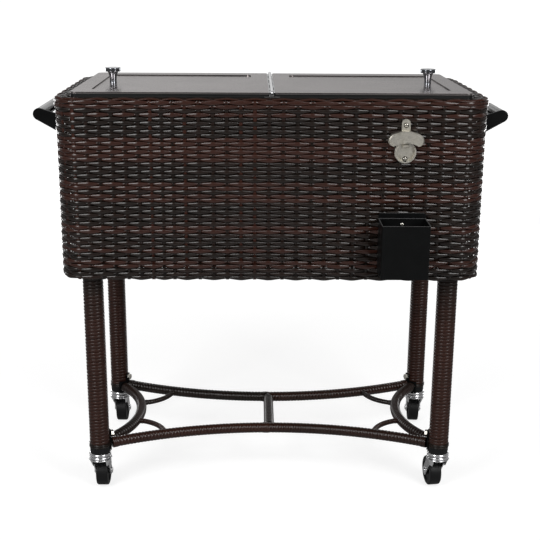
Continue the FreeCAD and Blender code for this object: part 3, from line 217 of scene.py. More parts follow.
@dataclass(frozen=True)
class Resin:
    """Extruded resin strand: three colours by strand, lengthwise streaks and a soft gloss."""

    name: str = "resin_strand"
    black: Colour = (0.0090, 0.0056, 0.0040)
    brown: Colour = (0.0325, 0.0113, 0.0072)
    rust: Colour = (0.0360, 0.0115, 0.0070)
    drift: float = 0.16
    drift_cells: Cells = (9.0, 9.0, 60.0)
    streak_cells: Cells = (14.0, 26.0, 1.0)
    streak_relief: Pair = (0.0002, 0.16)
    rough: Pair = (0.19, 0.28)
    shine: float = 0.40
    worn_above: Optional[tuple[float, float, float]] = None

    def material(self) -> Material:
        """Builds the finish from the strand's tone and UV; it is dull above a height, where one is given."""
        s = Shader(self.name)
        tone = s.node("Attribute", {"attribute_name": "tone", "attribute_type": "GEOMETRY"}).outputs["Fac"]
        shift = s.spread(s.noise("Object", self.drift_cells, 2.0), -self.drift, self.drift)
        share = s.ramp(s.math("ADD", tone, shift), Tone.BLACK.value, Tone.RUST.value)
        hue = s.node("ValToRGB", Fac=share)
        middle = hue.color_ramp.elements.new(Tone.BROWN.value / Tone.RUST.value)
        middle.color = shade(self.brown)
        hue.color_ramp.elements[0].color = shade(self.black)
        hue.color_ramp.elements[-1].color = shade(self.rust)
        streak = s.noise("UV", self.streak_cells, 2.0)
        gloss = self.shine
        if self.worn_above is not None:
            start, end, worn = self.worn_above
            gloss = s.ramp(s.axis("Z"), start, end, self.shine, worn)
        return s.dress(
            Base_Color=hue.outputs["Color"],
            Roughness=s.spread(streak, *self.rough),
            Specular_IOR_Level=gloss,
            Normal=s.bump(streak, *self.streak_relief),
        )


@dataclass(frozen=True)
class Brushed:
    """Metal sheet with fine scratches along one axis and painted shade on the slopes between its two levels.
    """

    name: str
    colour: Colour
    rough: Pair
    grain_cells: Cells = (9.0, 900.0, 900.0)
    grain_relief: Pair = (0.00004, 0.35)
    cloud_cells: Cells = (7.0, 7.0, 7.0)
    cloud: Pair = (0.90, 1.06)
    edge_tint: float = 0.5
    shaded_slope_height: float = 0.85005
    shaded_slope_reach: Pair = (0.0007, 0.0009)
    painted_slope_shade: float = 0.14

    def material(self) -> Material:
        """Builds the finish from noise stretched along the grain; the slopes are told by their height and get
        painted shade.
        """
        s = Shader(self.name)
        grain = s.noise("Object", self.grain_cells, 4.0)
        cloud = s.spread(s.noise("Object", self.cloud_cells, 2.0))
        sheet = s.mix(cloud, *(shade(self.colour, share) for share in self.cloud))
        # Painted shade: near the slopes' height the colour is darkened so that the slopes read dark.
        away = s.math("ABSOLUTE", s.math("SUBTRACT", s.axis("Z"), self.shaded_slope_height))
        level = s.ramp(away, *self.shaded_slope_reach)
        return s.dress(
            Base_Color=s.mix(level, shade(self.colour, self.painted_slope_shade), sheet),
            Metallic=1.0,
            Roughness=s.spread(grain, *self.rough),
            Specular_Tint=grey(self.edge_tint),
            Normal=s.bump(grain, *self.grain_relief),
        )


@dataclass(frozen=True)
class Plated:
    """Bright plate with a faint cloud; where a distance from the middle plane is given, beyond it the plate
    is painted black as shade.
    """

    name: str
    colour: Colour
    rough: Pair
    unshaded_within: Optional[float] = None
    fade: float = 0.0003
    black: float = 0.012
    cloud_cells: Cells = (45.0, 45.0, 45.0)
    cloud_share: float = 0.86

    def material(self) -> Material:
        """Builds the finish from one noise."""
        s = Shader(self.name)
        cloud = s.noise("Object", self.cloud_cells, 3.0)
        plate = s.mix(s.spread(cloud), shade(self.colour, self.cloud_share), shade(self.colour))
        if self.unshaded_within is not None:
            # Painted shade: beyond the distance from the middle plane the colour is turned near black.
            away = s.math("ABSOLUTE", s.axis("X"))
            dark = s.ramp(away, self.unshaded_within, self.unshaded_within + self.fade)
            plate = s.mix(dark, plate, grey(self.black))
        return s.dress(Base_Color=plate, Metallic=1.0, Roughness=s.spread(cloud, *self.rough))


@dataclass(frozen=True)
class Worn:
    """Old plated casting: pale metal with dull patches, a pitted face and painted shade in a ring round each
    screw.
    """

    name: str = "worn_nickel"
    bright: Colour = (0.98, 0.94, 0.84)
    dull: Colour = (0.34, 0.32, 0.265)
    rough: Pair = (0.46, 0.28)
    patch_cells: Cells = (95.0, 95.0, 95.0)
    pit_cells: Cells = (620.0, 620.0, 620.0)
    pit_relief: Pair = (0.0004, 0.25)
    screws: tuple[Point, ...] = ((0.253, 0.0, 0.7949), (0.253, 0.0, 0.7309))
    screw_shade_reach: Pair = (0.0047, 0.0053)
    screw_shade_share: float = 0.1

    def material(self) -> Material:
        """Builds the finish from coarse and fine noise and the distance from each screw in the front view,
        which sets the painted shade round the screws.
        """
        s = Shader(self.name)
        patch = s.noise("Object", self.patch_cells, 6.0)
        pits = s.noise("Object", self.pit_cells, 3.0)
        plate = s.mix(s.spread(patch, 0.1, 1.0), shade(self.dull), shade(self.bright))
        front = s.scaled("Object", (1.0, 0.0, 1.0))
        distances = []
        for screw in self.screws:
            away = s.node("VectorMath", {"operation": "DISTANCE"}, Vector=front)
            away.inputs[1].default_value = screw
            distances.append(away.outputs["Value"])
        # Painted shade: within a short distance of a screw's axis the colour is darkened to a tenth of the
        # dull metal.
        off_screw_shade = s.ramp(s.math("MINIMUM", *distances), *self.screw_shade_reach)
        return s.dress(
            Base_Color=s.mix(off_screw_shade, shade(self.dull, self.screw_shade_share), plate),
            Metallic=1.0,
            Roughness=s.spread(patch, *self.rough),
            Normal=s.bump(pits, *self.pit_relief),
        )


@dataclass(frozen=True)
class Coated:
    """Painted or moulded surface: fine grain, slight rub marks and level bands of another grey, which paint
    light or shade.
    """

    name: str
    colour: Colour
    rough: Pair
    grain: float = 900.0
    depth: float = 0.00012
    strength: float = 0.25
    shine: float = 0.25
    bands: tuple[tuple[float, float, float], ...] = ()
    blotch: Pair = (0.82, 1.15)
    rub_cells: Cells = (22.0, 22.0, 22.0)

    def material(self) -> Material:
        """Builds the finish; a band, such as a painted highlight along an edge or painted shade under the
        lids, is a height, a reach and a grey.
        """
        s = Shader(self.name)
        rub = s.noise("Object", self.rub_cells, 4.0)
        coat = s.mix(s.spread(rub), *(shade(self.colour, share) for share in self.blotch))
        # Each band paints a highlight or shade at one height.
        for height, reach, level in self.bands:
            near = s.math("COMPARE", s.axis("Z"), height, reach)
            coat = s.mix(near, coat, grey(level))
        fine = s.noise("Object", (self.grain,) * 3, 2.0)
        return s.dress(
            Base_Color=coat,
            Roughness=s.spread(rub, *self.rough),
            Specular_IOR_Level=self.shine,
            Normal=s.bump(fine, self.depth, self.strength),
        )


class Palette:
    """Every finish of the cart, made once."""

    def __init__(self) -> None:
        """Builds the materials."""
        black, black_rough = (0.0036, 0.0038, 0.0039), (0.30, 0.42)
        # Painted highlight: light bands along the catcher's top edges.
        edge_highlights = ((0.614, 0.0004, 0.085), (0.625, 0.0004, 0.085))
        # Painted shade: the tub's rim under the lids' edge is turned near black.
        shaded_flange = ((0.8410, 0.0026, 0.006),)
        liner, even = (0.58, 0.59, 0.60), (0.97, 1.03)
        self.resin = Resin(worn_above=(0.8380, 0.8410, 0.04)).material()
        self.bar_resin = Resin("bar_strand", rough=(0.28, 0.40), shine=0.27).material()
        self.lid = Brushed("brushed_lid", (0.738, 0.674, 0.662), (0.16, 0.26)).material()
        self.chrome = Plated("chrome", (0.82, 0.82, 0.83), (0.17, 0.25)).material()
        # Painted reflection: the knobs' chrome is darkened to show a dark room in it.
        self.dark_chrome = Plated("knob_chrome", (0.26, 0.27, 0.29), (0.08, 0.15)).material()
        # Painted shade: the hinge leaves are near black beside the barrel.
        self.hinge = Plated("hinge_plate", (0.72, 0.72, 0.73), (0.12, 0.20), 0.0036).material()
        self.zinc = Plated("zinc_screws", (0.80, 0.77, 0.70), (0.20, 0.30)).material()
        self.nickel = Worn().material()
        self.powder = Coated("black_powder", black, black_rough, shine=0.10).material()
        self.folded = Coated("black_sheet", black, black_rough, shine=0.10, bands=edge_highlights).material()
        self.grip = Coated("grip_sleeve", (0.016, 0.016, 0.016), (0.10, 0.16), 700.0, shine=1.0).material()
        self.moulded = Coated("black_moulding", (0.0050, 0.0050, 0.0052), (0.42, 0.56), 500.0).material()
        self.rubber = Coated("wheel_rubber", (0.0055, 0.0055, 0.0058), (0.36, 0.52), 700.0).material()
        self.seal = Coated("soft_seal", (0.008, 0.008, 0.008), (0.60, 0.72), 400.0).material()
        self.tub = Coated("grey_liner", liner, (0.32, 0.38), 300.0, blotch=even, bands=shaded_flange).material()
        self.foam = Coated("rigid_foam", (0.72, 0.66, 0.45), (0.75, 0.85), 250.0, 0.0004).material()


class MeshBatch:
    """Surfaces gathered into one mesh, with UV along and round each one and a tone for each vertex."""

    def __init__(self, name: str) -> None:
        """Starts an empty batch.

        Args:
            name: Name of the piece.
        """
        self.name = name
        self.points: list[Array] = []
        self.tones: list[Array] = []
        self.loops: list[Array] = []
        self.sizes: list[Array] = []
        self.uvs: list[Array] = []
        self.count = 0

    def grid(self, rings: Array, closed: bool, tone: Array | float, step: float = 1.0) -> None:
        """Adds a tube given as rings of points along a path.

        Each quad joins two neighbouring points of a ring to the same two of the next ring. An open tube is
        shut by a fan at each end. The faces are turned outwards by the sign of the enclosed volume.

        Args:
            rings: Points in millimetres, path by ring by xyz.
            closed: Whether the path returns to its start.
            tone: Tone of each path point, or of all.
            step: UV length between two rings.
        """
        n, m = rings.shape[:2]
        along = np.arange(n if closed else n - 1)
        i, j = np.meshgrid(along, np.arange(m), indexing="ij")
        i2, j2 = (i + 1) % n, (j + 1) % m
        quads = np.stack([i * m + j, i2 * m + j, i2 * m + j2, i * m + j2], -1).reshape(-1, 4)
        u = np.stack([i, i + 1, i + 1, i], -1).reshape(-1, 4) * step
        v = np.stack([j, j, j + 1, j + 1], -1).reshape(-1, 4) / m
        flat = rings.reshape(-1, 3)
        a, b, c, d = (flat[quads[:, k]] for k in range(4))
        flip = np.einsum("ij,ij->i", a - flat.mean(0), np.cross(c - a, d - b)).sum() < 0
        tones = np.repeat(np.broadcast_to(np.asarray(tone, float), (n,)), m)
        self._add(quads, np.stack([u, v], -1), flip)
        if not closed:
            k = np.arange(m)
            k2 = (k + 1) % m
            first = np.stack([np.full(m, n * m), k, k2], -1)
            last = np.stack([np.full(m, n * m + 1), (n - 1) * m + k2, (n - 1) * m + k], -1)
            fans = np.concatenate([first, last])
            self._add(fans, np.zeros((*fans.shape, 2)), flip)
            flat = np.concatenate([flat, rings[:1].mean(1), rings[-1:].mean(1)])
            tones = np.concatenate([tones, tones[:1], tones[-1:]])
        self.points.append(flat * MM)
        self.tones.append(tones)
        self.count += len(flat)

    def _add(self, faces: Array, uv: Array, flip: bool) -> None:
        """Stores faces of one size, turned over where asked.

        Args:
            faces: Vertex numbers within the surface being added.
            uv: UV of each face corner.
            flip: Whether to reverse the faces.
        """
        if flip:
            faces, uv = faces[:, ::-1], uv[:, ::-1]
        self.loops.append((faces + self.count).ravel())
        self.sizes.append(np.full(len(faces), faces.shape[1]))
        self.uvs.append(uv.reshape(-1, 2))

    def build(self, material: Material, body: str, slot: str, stands_for: Sequence[str] = ()) -> Piece:
        """Makes the mesh object and puts it on its body.

        Args:
            material: Finish.
            body: Body that the piece rides on.
            slot: Material slot of the record; not used.
            stands_for: CAD nodes that the piece shows in place of.

        Returns:
            The object.
        """
        points = np.concatenate(self.points).astype(np.float32)
        loops = np.concatenate(self.loops).astype(np.int32)
        sizes = np.concatenate(self.sizes)
        starts = np.concatenate([[0], np.cumsum(sizes)[:-1]]).astype(np.int32)
        mesh = bpy.data.meshes.new(self.name)
        mesh.vertices.add(len(points))
        mesh.vertices.foreach_set("co", points.ravel())
        mesh.loops.add(len(loops))
        mesh.polygons.add(len(sizes))
        mesh.polygons.foreach_set("loop_start", starts)
        mesh.polygons.foreach_set("vertices", loops)
        mesh.polygons.foreach_set("use_smooth", np.ones(len(sizes), bool))
        layer = mesh.uv_layers.new(name="strand")
        layer.uv.foreach_set("vector", np.concatenate(self.uvs).astype(np.float32).ravel())
        tone = mesh.attributes.new("tone", "FLOAT", "POINT")
        tone.data.foreach_set("value", np.concatenate(self.tones).astype(np.float32))
        mesh.materials.append(material)
        mesh.update(calc_edges=True)
        piece = bpy.data.objects.new(self.name, mesh)
        bpy.context.scene.collection.objects.link(piece)
        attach(piece, body)
        if stands_for:
            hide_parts(*stands_for)
        return piece


def half_round(width: float, front: float, back: float, points: int = 6) -> Array:
    """Section of a strand: a half ellipse in front and one shallow point behind.

    Args:
        width: Width across the strand.
        front: Rise of the front face over the section's axis.
        back: Depth of the back face under it.
        points: Points on the front arc.

    Returns:
        Points as (out, across) pairs, round the section.
    """
    t = np.linspace(0.0, math.pi, points)
    out = np.concatenate([front * np.sin(t), [-back]])
    across = np.concatenate([0.5 * width * np.cos(t), [0.0]])
    return np.stack([out, across], -1)


def flat_strip(width: float, crown: float, edge: float, back: float) -> Array:
    """Section of a flat strand: a low crown in front whose edges roll back, and one shallow point behind.

    The front stands a parabola high over the edges and falls away by the thirtieth power of the share of the
    half width, so that only the last twentieth of it rolls over.

    Args:
        width: Width across the strand.
        crown: Rise of the front face over its axis.
        edge: Depth by which the edges roll back.
        back: Depth of the back face under the axis.

    Returns:
        Points as (out, across) pairs, round the section.
    """
    t = np.array([1.0, 0.96, 0.88, 0.50, 0.0, -0.50, -0.88, -0.96, -1.0])
    out = np.concatenate([crown * (1 - t * t) - edge * t ** 30, [-back]])
    across = np.concatenate([0.5 * width * t, [0.0]])
    return np.stack([out, across], -1)


def carry(section: Array, places: Array, out: Array, across: Array) -> Array:
    """Carries a section along a path.

    Args:
        section: (out, across) pairs, the same all along or one set for each path point.
        places: Path points.
        out: Direction of the section's first axis at each point.
        across: Direction of its second axis at each point.

    Returns:
        Rings of points, path by section by xyz.
    """
    return places[:, None] + section[..., :1] * out[:, None] + section[..., 1:] * across[:, None]


def straight(start: Sequence[float], end: Sequence[float]) -> tuple[Path, float]:
    """A straight path.

    Args:
        start: First point.
        end: Last point.

    Returns:
        The path by arc length, giving place, tangent and two normals, and its length.
    """
    a, b = np.asarray(start, float), np.asarray(end, float)
    length = float(np.linalg.norm(b - a))
    tangent = (b - a) / length
    steep = abs(tangent[2]) >= 0.9
    helper = np.array([0.0, -1.0, 0.0] if steep else [0.0, 0.0, 1.0])
    normal = np.cross(helper, tangent)
    normal /= np.linalg.norm(normal)
    other = np.cross(tangent, normal)

    def at(s: Array) -> PathFrame:
        """Place and frame at each arc length."""
        ones = np.ones((len(s), 1))
        return a + s[:, None] * tangent, ones * tangent, ones * normal, ones * other

    return at, length


def level_arc(start: Sequence[float], middle: Sequence[float], end: Sequence[float]) -> tuple[Path, float]:
    """The level circular path through three points.

    Its centre is as far from the first point as from the two others, which gives two linear equations.

    Args:
        start: First point.
        middle: A point between.
        end: Last point.

    Returns:
        The path by arc length and its length.
    """
    a, b, c = (np.asarray(p, float)[:2] for p in (start, middle, end))
    centre = np.linalg.solve(2 * np.array([b - a, c - a]), np.array([b @ b - a @ a, c @ c - a @ a]))
    radius = float(np.linalg.norm(a - centre))
    first, last = (math.atan2(p[1] - centre[1], p[0] - centre[0]) for p in (a, c))
    turn = (last - first + math.pi) % (2 * math.pi) - math.pi
    way = math.copysign(1.0, turn)
    hub = np.array([*centre, start[2]])

    def at(s: Array) -> PathFrame:
        """Place and frame at each arc length."""
        angle = first + way * s / radius
        zero = np.zeros_like(angle)
        normal = np.stack([np.cos(angle), np.sin(angle), zero], -1)
        tangent = way * np.stack([-np.sin(angle), np.cos(angle), zero], -1)
        return hub + radius * normal, tangent, normal, np.cross(tangent, normal)

    return at, abs(turn) * radius


def halves(left: float, right: float) -> Tint:
    """Tone that changes at the middle of the cart."""
    return lambda p: np.where(p[:, 0] < 0, left, right)


@dataclass(frozen=True)
class Winding:
    """A strand wound tightly round a bar."""

    radius: float
    pitch: float
    bulge: float
    per_turn: int = 20
    seed: int = 1
    waver: float = 0.035
    overlap: float = 1.02
    back_share: float = 0.5
    uv_share: float = 0.01
    core_step: float = 12.0
    core_sides: int = 14
    core_share: float = 0.9

    def seeded(self, step: int) -> "Winding":
        """The same winding with a waver of its own."""
        return replace(self, seed=self.seed + step)

    def add(self, batch: MeshBatch, path: Path, start: float, end: float, tone: Tint) -> None:
        """Winds the strand from one arc length to another and puts a round core under it.

        The strand's middle line is a helix: it turns once for each pitch along the bar, and each turn
        wavers a little. Its section stands outwards on the bar's radius, a half ellipse as wide as the pitch.

        Args:
            batch: Batch that takes the surfaces.
            path: Middle line of the bar.
            start: Arc length of the first turn.
            end: Arc length of the last turn.
            tone: Strand tone, or a function that gives it by place.
        """
        turns = (end - start) / self.pitch
        k = np.linspace(0.0, turns, int(turns * self.per_turn) + 2)
        rng = np.random.default_rng(self.seed)
        waver = np.interp(k, np.arange(int(turns) + 2), rng.normal(0.0, self.waver, int(turns) + 2))
        place, tangent, normal, other = path(start + (k + waver) * self.pitch)
        angle = 2 * math.pi * k[:, None]
        out = np.cos(angle) * normal + np.sin(angle) * other
        section = half_round(self.pitch * self.overlap, self.bulge, self.bulge * self.back_share)
        rings = carry(section, place + out * (self.radius - self.bulge), out, tangent)
        step = 2 * math.pi * self.radius / self.per_turn * self.uv_share
        batch.grid(rings, False, tone(place) if callable(tone) else tone, step)
        core = np.linspace(start, end, max(2, int((end - start) / self.core_step)))
        place, _, normal, other = path(core)
        t = np.linspace(0, 2 * math.pi, self.core_sides, endpoint=False)
        section = (self.radius - self.bulge * self.core_share) * np.stack([np.cos(t), np.sin(t)], -1)
        batch.grid(carry(section, place, normal, other), False, Tone.BLACK.value)


@dataclass
class WovenBody:
    """Plain weave of the body wall and its border: level weavers over and under upright stakes.

    Strand holds a weaver's width, crown, edge and back, and stake a stake's width, front and back. Calm holds
    the shares of the wave that are left at the corners, on the ends and on the border. Row runs count the
    brown (B) and black (K) rows from the inside of the border down.
    """

    half_x: float = 419.0
    half_y: float = 223.0
    corner: float = 55.0
    bottom: float = 487.5
    rim_bottom: float = 826.0
    rim_top: float = 844.5
    rim_bulge: float = 2.0
    rim_flare: Pair = (10.0, 2.0)
    rim_in: Pair = (30.0, 25.0)
    rim_rounds: Pair = (9.0, 5.0)
    depth: float = 3.9
    feeler: float = 0.8
    row_pitch: float = 7.8
    strand: tuple[float, float, float, float] = (7.1, 1.10, 1.2, 1.6)
    strand_uv: float = 0.035
    swell: float = 0.24
    wave: float = 2.65
    uneven: Pair = (0.05, 1.7)
    sway: float = 0.35
    sway_waves: tuple[int, int] = (2, 9)
    fade: Pair = (0.14, 170.0)
    any_angle: float = 6.3
    roof_at: tuple[float, ...] = (0.0, 0.12, 0.81, 0.88, 1.0)
    roof: tuple[float, ...] = (1.0, 0.93, -0.44, -1.15, -1.25)
    steps: tuple[float, ...] = (0.0, 0.12, 0.19, 0.24, 0.50, 0.76, 0.81, 0.88)
    calm: tuple[float, float, float] = (0.45, 0.70, 0.55)
    calm_run: float = 25.0
    calm_rim: Pair = (10.0, 6.0)
    row_runs: str = "K3 B3 K1 B1 K5 B6 K5 B2 K1 B2 K6 B2 K4 B1 K2 B2 K3"
    stake: tuple[float, float, float] = (6.8, 0.5, 0.9)
    stake_uv: float = 0.2
    stake_recess: float = 2.6
    stake_points: tuple[int, int] = (6, 16)
    stake_gap: float = 3.0
    stake_tones: tuple[float, ...] = (Tone.BLACK.value, Tone.BLACK.value, 0.1, 0.2, Tone.RUST.value)
    front_knots: tuple[float, ...] = (-364.0, -260.0, -205.0, -150.0, -100.0, 250.0, 364.0)
    front_pitch: tuple[float, ...] = (23.2, 25.4, 19.6, 27.1, 26.6, 28.2, 25.5)
    side_pitch: float = 26.0
    bands: int = 5
    seed: int = 11

    def _segments(self) -> tuple[Array, Array, Array, Array]:
        """Stretches of the plan outline, from the middle of the back round by the left end.

        Returns:
            Signs of each stretch's first and last corner centre, its first and last normal angle, the angle
            that it turns by, and the arc lengths at which the stretches start.
        """
        first = [(0, 1), (-1, 1), (-1, 1), (-1, -1), (-1, -1), (1, -1), (1, -1), (1, 1), (1, 1)]
        last = [*first[1:], (0, 1)]
        turns = np.array([0, 1, 0, 1, 0, 1, 0, 1, 0]) * math.pi / 2
        angle = math.pi / 2 + np.concatenate([[0.0], np.cumsum(turns)])
        signs = np.array([first, last], float)
        centre = np.array([self.half_x - self.corner, self.half_y - self.corner])
        run = np.abs(signs[1] - signs[0]) @ centre + turns * self.corner
        return signs, np.stack([angle[:-1], angle[1:]]), turns, np.concatenate([[0.0], np.cumsum(run)])

    def _section(self) -> tuple[Array, Array]:
        """Section of the weave's middle surface: up the wall, over the border and down inside it.

        The wall flares out to the border, whose top lies between an outer and an inner quarter round.

        Returns:
            Points as (inset, height) pairs and the arc length at each of them.
        """
        r0, r1 = (r - self.depth for r in self.rim_rounds)
        outer = self.depth - self.rim_bulge
        inner = outer + self.rim_in[0] - 2 * self.depth + self.rim_bulge
        top = self.rim_top - self.depth
        flare, foot = self.rim_bottom - self.rim_flare[0], self.rim_bottom + self.rim_flare[1]
        t = np.linspace(0, math.pi / 2, 9)
        wall = [[self.depth, self.bottom], [self.depth, flare], [outer, foot]]
        first = np.stack([outer + r0 * (1 - np.cos(t)), top - r0 + r0 * np.sin(t)], -1)
        second = np.stack([inner - r1 + r1 * np.sin(t), top - r1 + r1 * np.cos(t)], -1)
        line = np.concatenate([wall, first, second, [[inner, foot]]])
        return line, np.concatenate([[0.0], np.cumsum(np.linalg.norm(np.diff(line, axis=0), axis=1))])

    def plan(self, s: Array, inset_x: Array, inset_y: Array) -> tuple[Array, Array]:
        """Point of the plan outline, drawn in from the wall's face.

        A stretch's point is the corner centre, moved from its first to its last place, plus the corner radius
        along the normal, turned from its first to its last angle.

        Args:
            s: Arc length along the wall's face.
            inset_x: Inset at the two ends of the cart.
            inset_y: Inset at the front and the back.

        Returns:
            Points and outward normals in plan.
        """
        signs, angles, _, starts = self._segments()
        s = np.mod(s, starts[-1])
        k = np.clip(np.searchsorted(starts, s, side="right") - 1, 0, len(starts) - 2)
        f = ((s - starts[k]) / (starts[k + 1] - starts[k]))[:, None]
        radius = self.corner - (inset_x + inset_y) / 2
        centre = np.stack([self.half_x - inset_x - radius, self.half_y - inset_y - radius], -1)
        place = (signs[0][k] * (1 - f) + signs[1][k] * f) * centre
        angle = angles[0][k] * (1 - f[:, 0]) + angles[1][k] * f[:, 0]
        normal = np.stack([np.cos(angle), np.sin(angle)], -1)
        return place + radius[:, None] * normal, normal

    def profile(self, v: Array) -> tuple[Array, Array, Array]:
        """Point of the section, with the normal taken from two points a little before and after it.

        Args:
            v: Arc length from the lower edge.

        Returns:
            Inset at the ends of the cart, height, and the outward (level, up) normal.
        """
        line, run = self._section()

        def at(w: Array) -> Array:
            """Inset and height at each arc length."""
            return np.stack([np.interp(w, run, line[:, 0]), np.interp(w, run, line[:, 1])])

        ahead, behind = (np.clip(v + e, 0, run[-1]) for e in (self.feeler, -self.feeler))
        d_in, d_up = at(ahead) - at(behind)
        inset, height = at(v)
        return inset, height, np.stack([d_up, d_in], -1) / np.hypot(d_in, d_up)[:, None]

    def insets(self, inset: Array) -> tuple[Array, Array]:
        """Insets at the ends and at the front, the latter scaled to the narrower border there."""
        share = (self.rim_in[1] - self.depth) / (self.rim_in[0] - self.depth)
        beyond = np.maximum(inset - self.depth, 0.0)
        return inset, np.where(inset > self.depth, self.depth + beyond * share, inset)

    def place(self, s: Array, v: Array, lift: Array) -> tuple[Array, Array, Array]:
        """Point on the weave's middle surface, lifted off it.

        Args:
            s: Arc length round the body.
            v: Arc length up the section.
            lift: Height over the middle surface.

        Returns:
            Points, outward normals and the direction up the section.
        """
        inset, height, side = self.profile(v)
        flat, normal = self.plan(s, *self.insets(inset))
        out = np.concatenate([normal * side[:, :1], side[:, 1:]], -1)
        up = np.concatenate([-normal * side[:, 1:], side[:, :1]], -1)
        points = np.concatenate([flat, height[:, None]], -1)
        return points + out * lift[:, None], out, up

    def stake_places(self) -> Array:
        """Arc lengths of the stakes: by the pitch knots along the front, evenly spaced elsewhere.

        The running sum of length over pitch along the front is cut into equal shares, with a stake at the
        middle of each.

        Returns:
            The arc lengths in rising order, an even number of them.
        """
        starts = self._segments()[3]
        x = np.linspace(self.front_knots[0], self.front_knots[-1], ARC_SAMPLES // 2)
        pitch = np.interp(x, self.front_knots, self.front_pitch)
        count = np.concatenate([[0.0], np.cumsum(np.diff(x) / ((pitch[1:] + pitch[:-1]) / 2))])
        number = int(round(count[-1]))
        at = np.interp((np.arange(number) + 0.5) / number * count[-1], count, x)
        front = at + starts[4] - self.front_knots[0]
        rest = starts[-1] - (front[-1] - front[0])
        others = int(round(rest / self.side_pitch)) - 1
        others += (number + others) % 2
        back = front[-1] + rest * (np.arange(others) + 1) / (others + 1)
        return np.sort(np.mod(np.concatenate([front, back]), starts[-1]))

    def row_tones(self) -> list[float]:
        """Tone of each row from the inside of the border down, from the run lengths."""
        runs = [(Tone.BROWN if r[0] == "B" else Tone.BLACK, int(r[1:])) for r in self.row_runs.split()]
        return [tone.value for tone, n in runs for _ in range(n)]

    def _ease(self, s: Array, v: Array) -> Array:
        """Share of the wave left at each place: less where the strands pull tight.

        Args:
            s: Arc length round the body.
            v: Arc length up the section.

        Returns:
            One on the front and the back, the corner share round the corners and the end share on the two
            ends, each times the border share above the wall.
        """
        _, _, turns, starts = self._segments()
        first, last = starts[:-1][turns > 0], starts[1:][turns > 0]
        knots = np.stack([first - self.calm_run, first, last, last + self.calm_run], -1).ravel()
        corner, end, border = self.calm
        shares = [1.0, corner, corner, end, end, corner, corner, 1.0] * 2
        wall = self.rim_bottom - self.bottom
        rise = [wall - self.calm_rim[0], wall + self.calm_rim[1]]
        return np.interp(s, knots, shares) * np.interp(v, rise, [1.0, border])

    def build(self, palette: Palette) -> list[Piece]:
        """Weaves the body in a few bands and sets its stakes.

        Args:
            palette: Finishes.

        Returns:
            The pieces.
        """
        rng = np.random.default_rng(self.seed)
        stakes = self.stake_places()
        number = len(stakes)
        phase = (np.arange(number)[:, None] + np.array(self.steps)).ravel()
        knots = np.concatenate([stakes, [stakes[0] + self._segments()[3][-1]]])
        s = np.interp(phase, np.arange(number + 1), knots)
        rows = int(self._section()[1][-1] / self.row_pitch)
        per_band = -(-rows // self.bands)
        tones = self.row_tones()
        pieces = []
        for band in range(self.bands):
            batch = MeshBatch(f"body_weave_{band}")
            for row in range(band * per_band, min(rows, (band + 1) * per_band)):
                tone = tones[min(rows - 1 - row, len(tones) - 1)]
                self._weaver(batch, row, phase, s, tone, rng)
            stands = ("wicker_shell", "wicker_rim") if band == 0 else ()
            pieces.append(batch.build(palette.resin, "cart", "wicker", stands))
        return [*pieces, self._stakes(palette, stakes, rng)]

    def _weaver(
        self, batch: MeshBatch, row: int, phase: Array, s: Array, tone: float, rng: np.random.Generator
    ) -> None:
        """Weaves one row.

        A weaver's lift is a low roof whose ridge lies over one stake; over the last fifth of the way to the
        next stake it plunges behind that one. Its width swells with a cosine, widest at the ridge.
        Neighbouring rows are one stake apart.

        Args:
            batch: Batch that takes the strand.
            row: Number of the row from the lower edge.
            phase: Place of each path point, counted in stakes.
            s: Arc length of each path point round the body.
            tone: Tone of the row.
            rng: Source of its sway and its fading.
        """
        waves, sway_start = rng.integers(*self.sway_waves), rng.uniform(0, self.any_angle)
        fade_start = rng.uniform(0, self.any_angle)
        around = self._segments()[3][-1]
        sway = self.sway * np.sin(s / around * 2 * math.pi * waves + sway_start)
        v = (row + 0.5) * self.row_pitch + sway
        roof = np.interp(1 - np.abs((phase + row) % 2 - 1), self.roof_at, self.roof)
        uneven = 1 + self.uneven[0] * np.sin(phase * self.uneven[1] + row)
        points, out, up = self.place(s, v, self.wave * self._ease(s, v) * roof * uneven)
        facing = np.cross(up, np.roll(points, -1, 0) - np.roll(points, 1, 0))
        facing /= np.linalg.norm(facing, axis=1)[:, None]
        facing *= np.sign(np.einsum("ij,ij->i", facing, out))[:, None]
        swell = 1 + self.swell * np.cos(math.pi * (phase + row))
        widths = np.stack([np.ones_like(swell), swell], -1)
        section = flat_strip(*self.strand) * widths[:, None]
        hue = np.clip(tone + self.fade[0] * np.sin(s / self.fade[1] + fade_start), 0, 1)
        batch.grid(carry(section, points, facing, up), True, hue, self.strand_uv)

    def _stakes(self, palette: Palette, stakes: Array, rng: np.random.Generator) -> Piece:
        """Sets the upright stakes, from the lower edge to the inside of the border.

        Args:
            palette: Finishes.
            stakes: Their arc lengths round the body.
            rng: Source of their tones.

        Returns:
            The piece.
        """
        batch = MeshBatch("body_stakes")
        wall = self.rim_bottom - self.bottom
        low, high = self.stake_points
        over = np.linspace(wall + self.stake_gap, self._section()[1][-1], high)
        v = np.concatenate([np.linspace(0.0, wall, low), over])
        section = half_round(*self.stake)
        for s0 in stakes:
            s = np.full(len(v), s0)
            points, out, up = self.place(s, v, -self.stake_recess * self._ease(s, v))
            tone = rng.choice(self.stake_tones)
            batch.grid(carry(section, points, out, np.cross(up, out)), False, tone, self.stake_uv)
        return batch.build(palette.resin, "cart", "wicker")


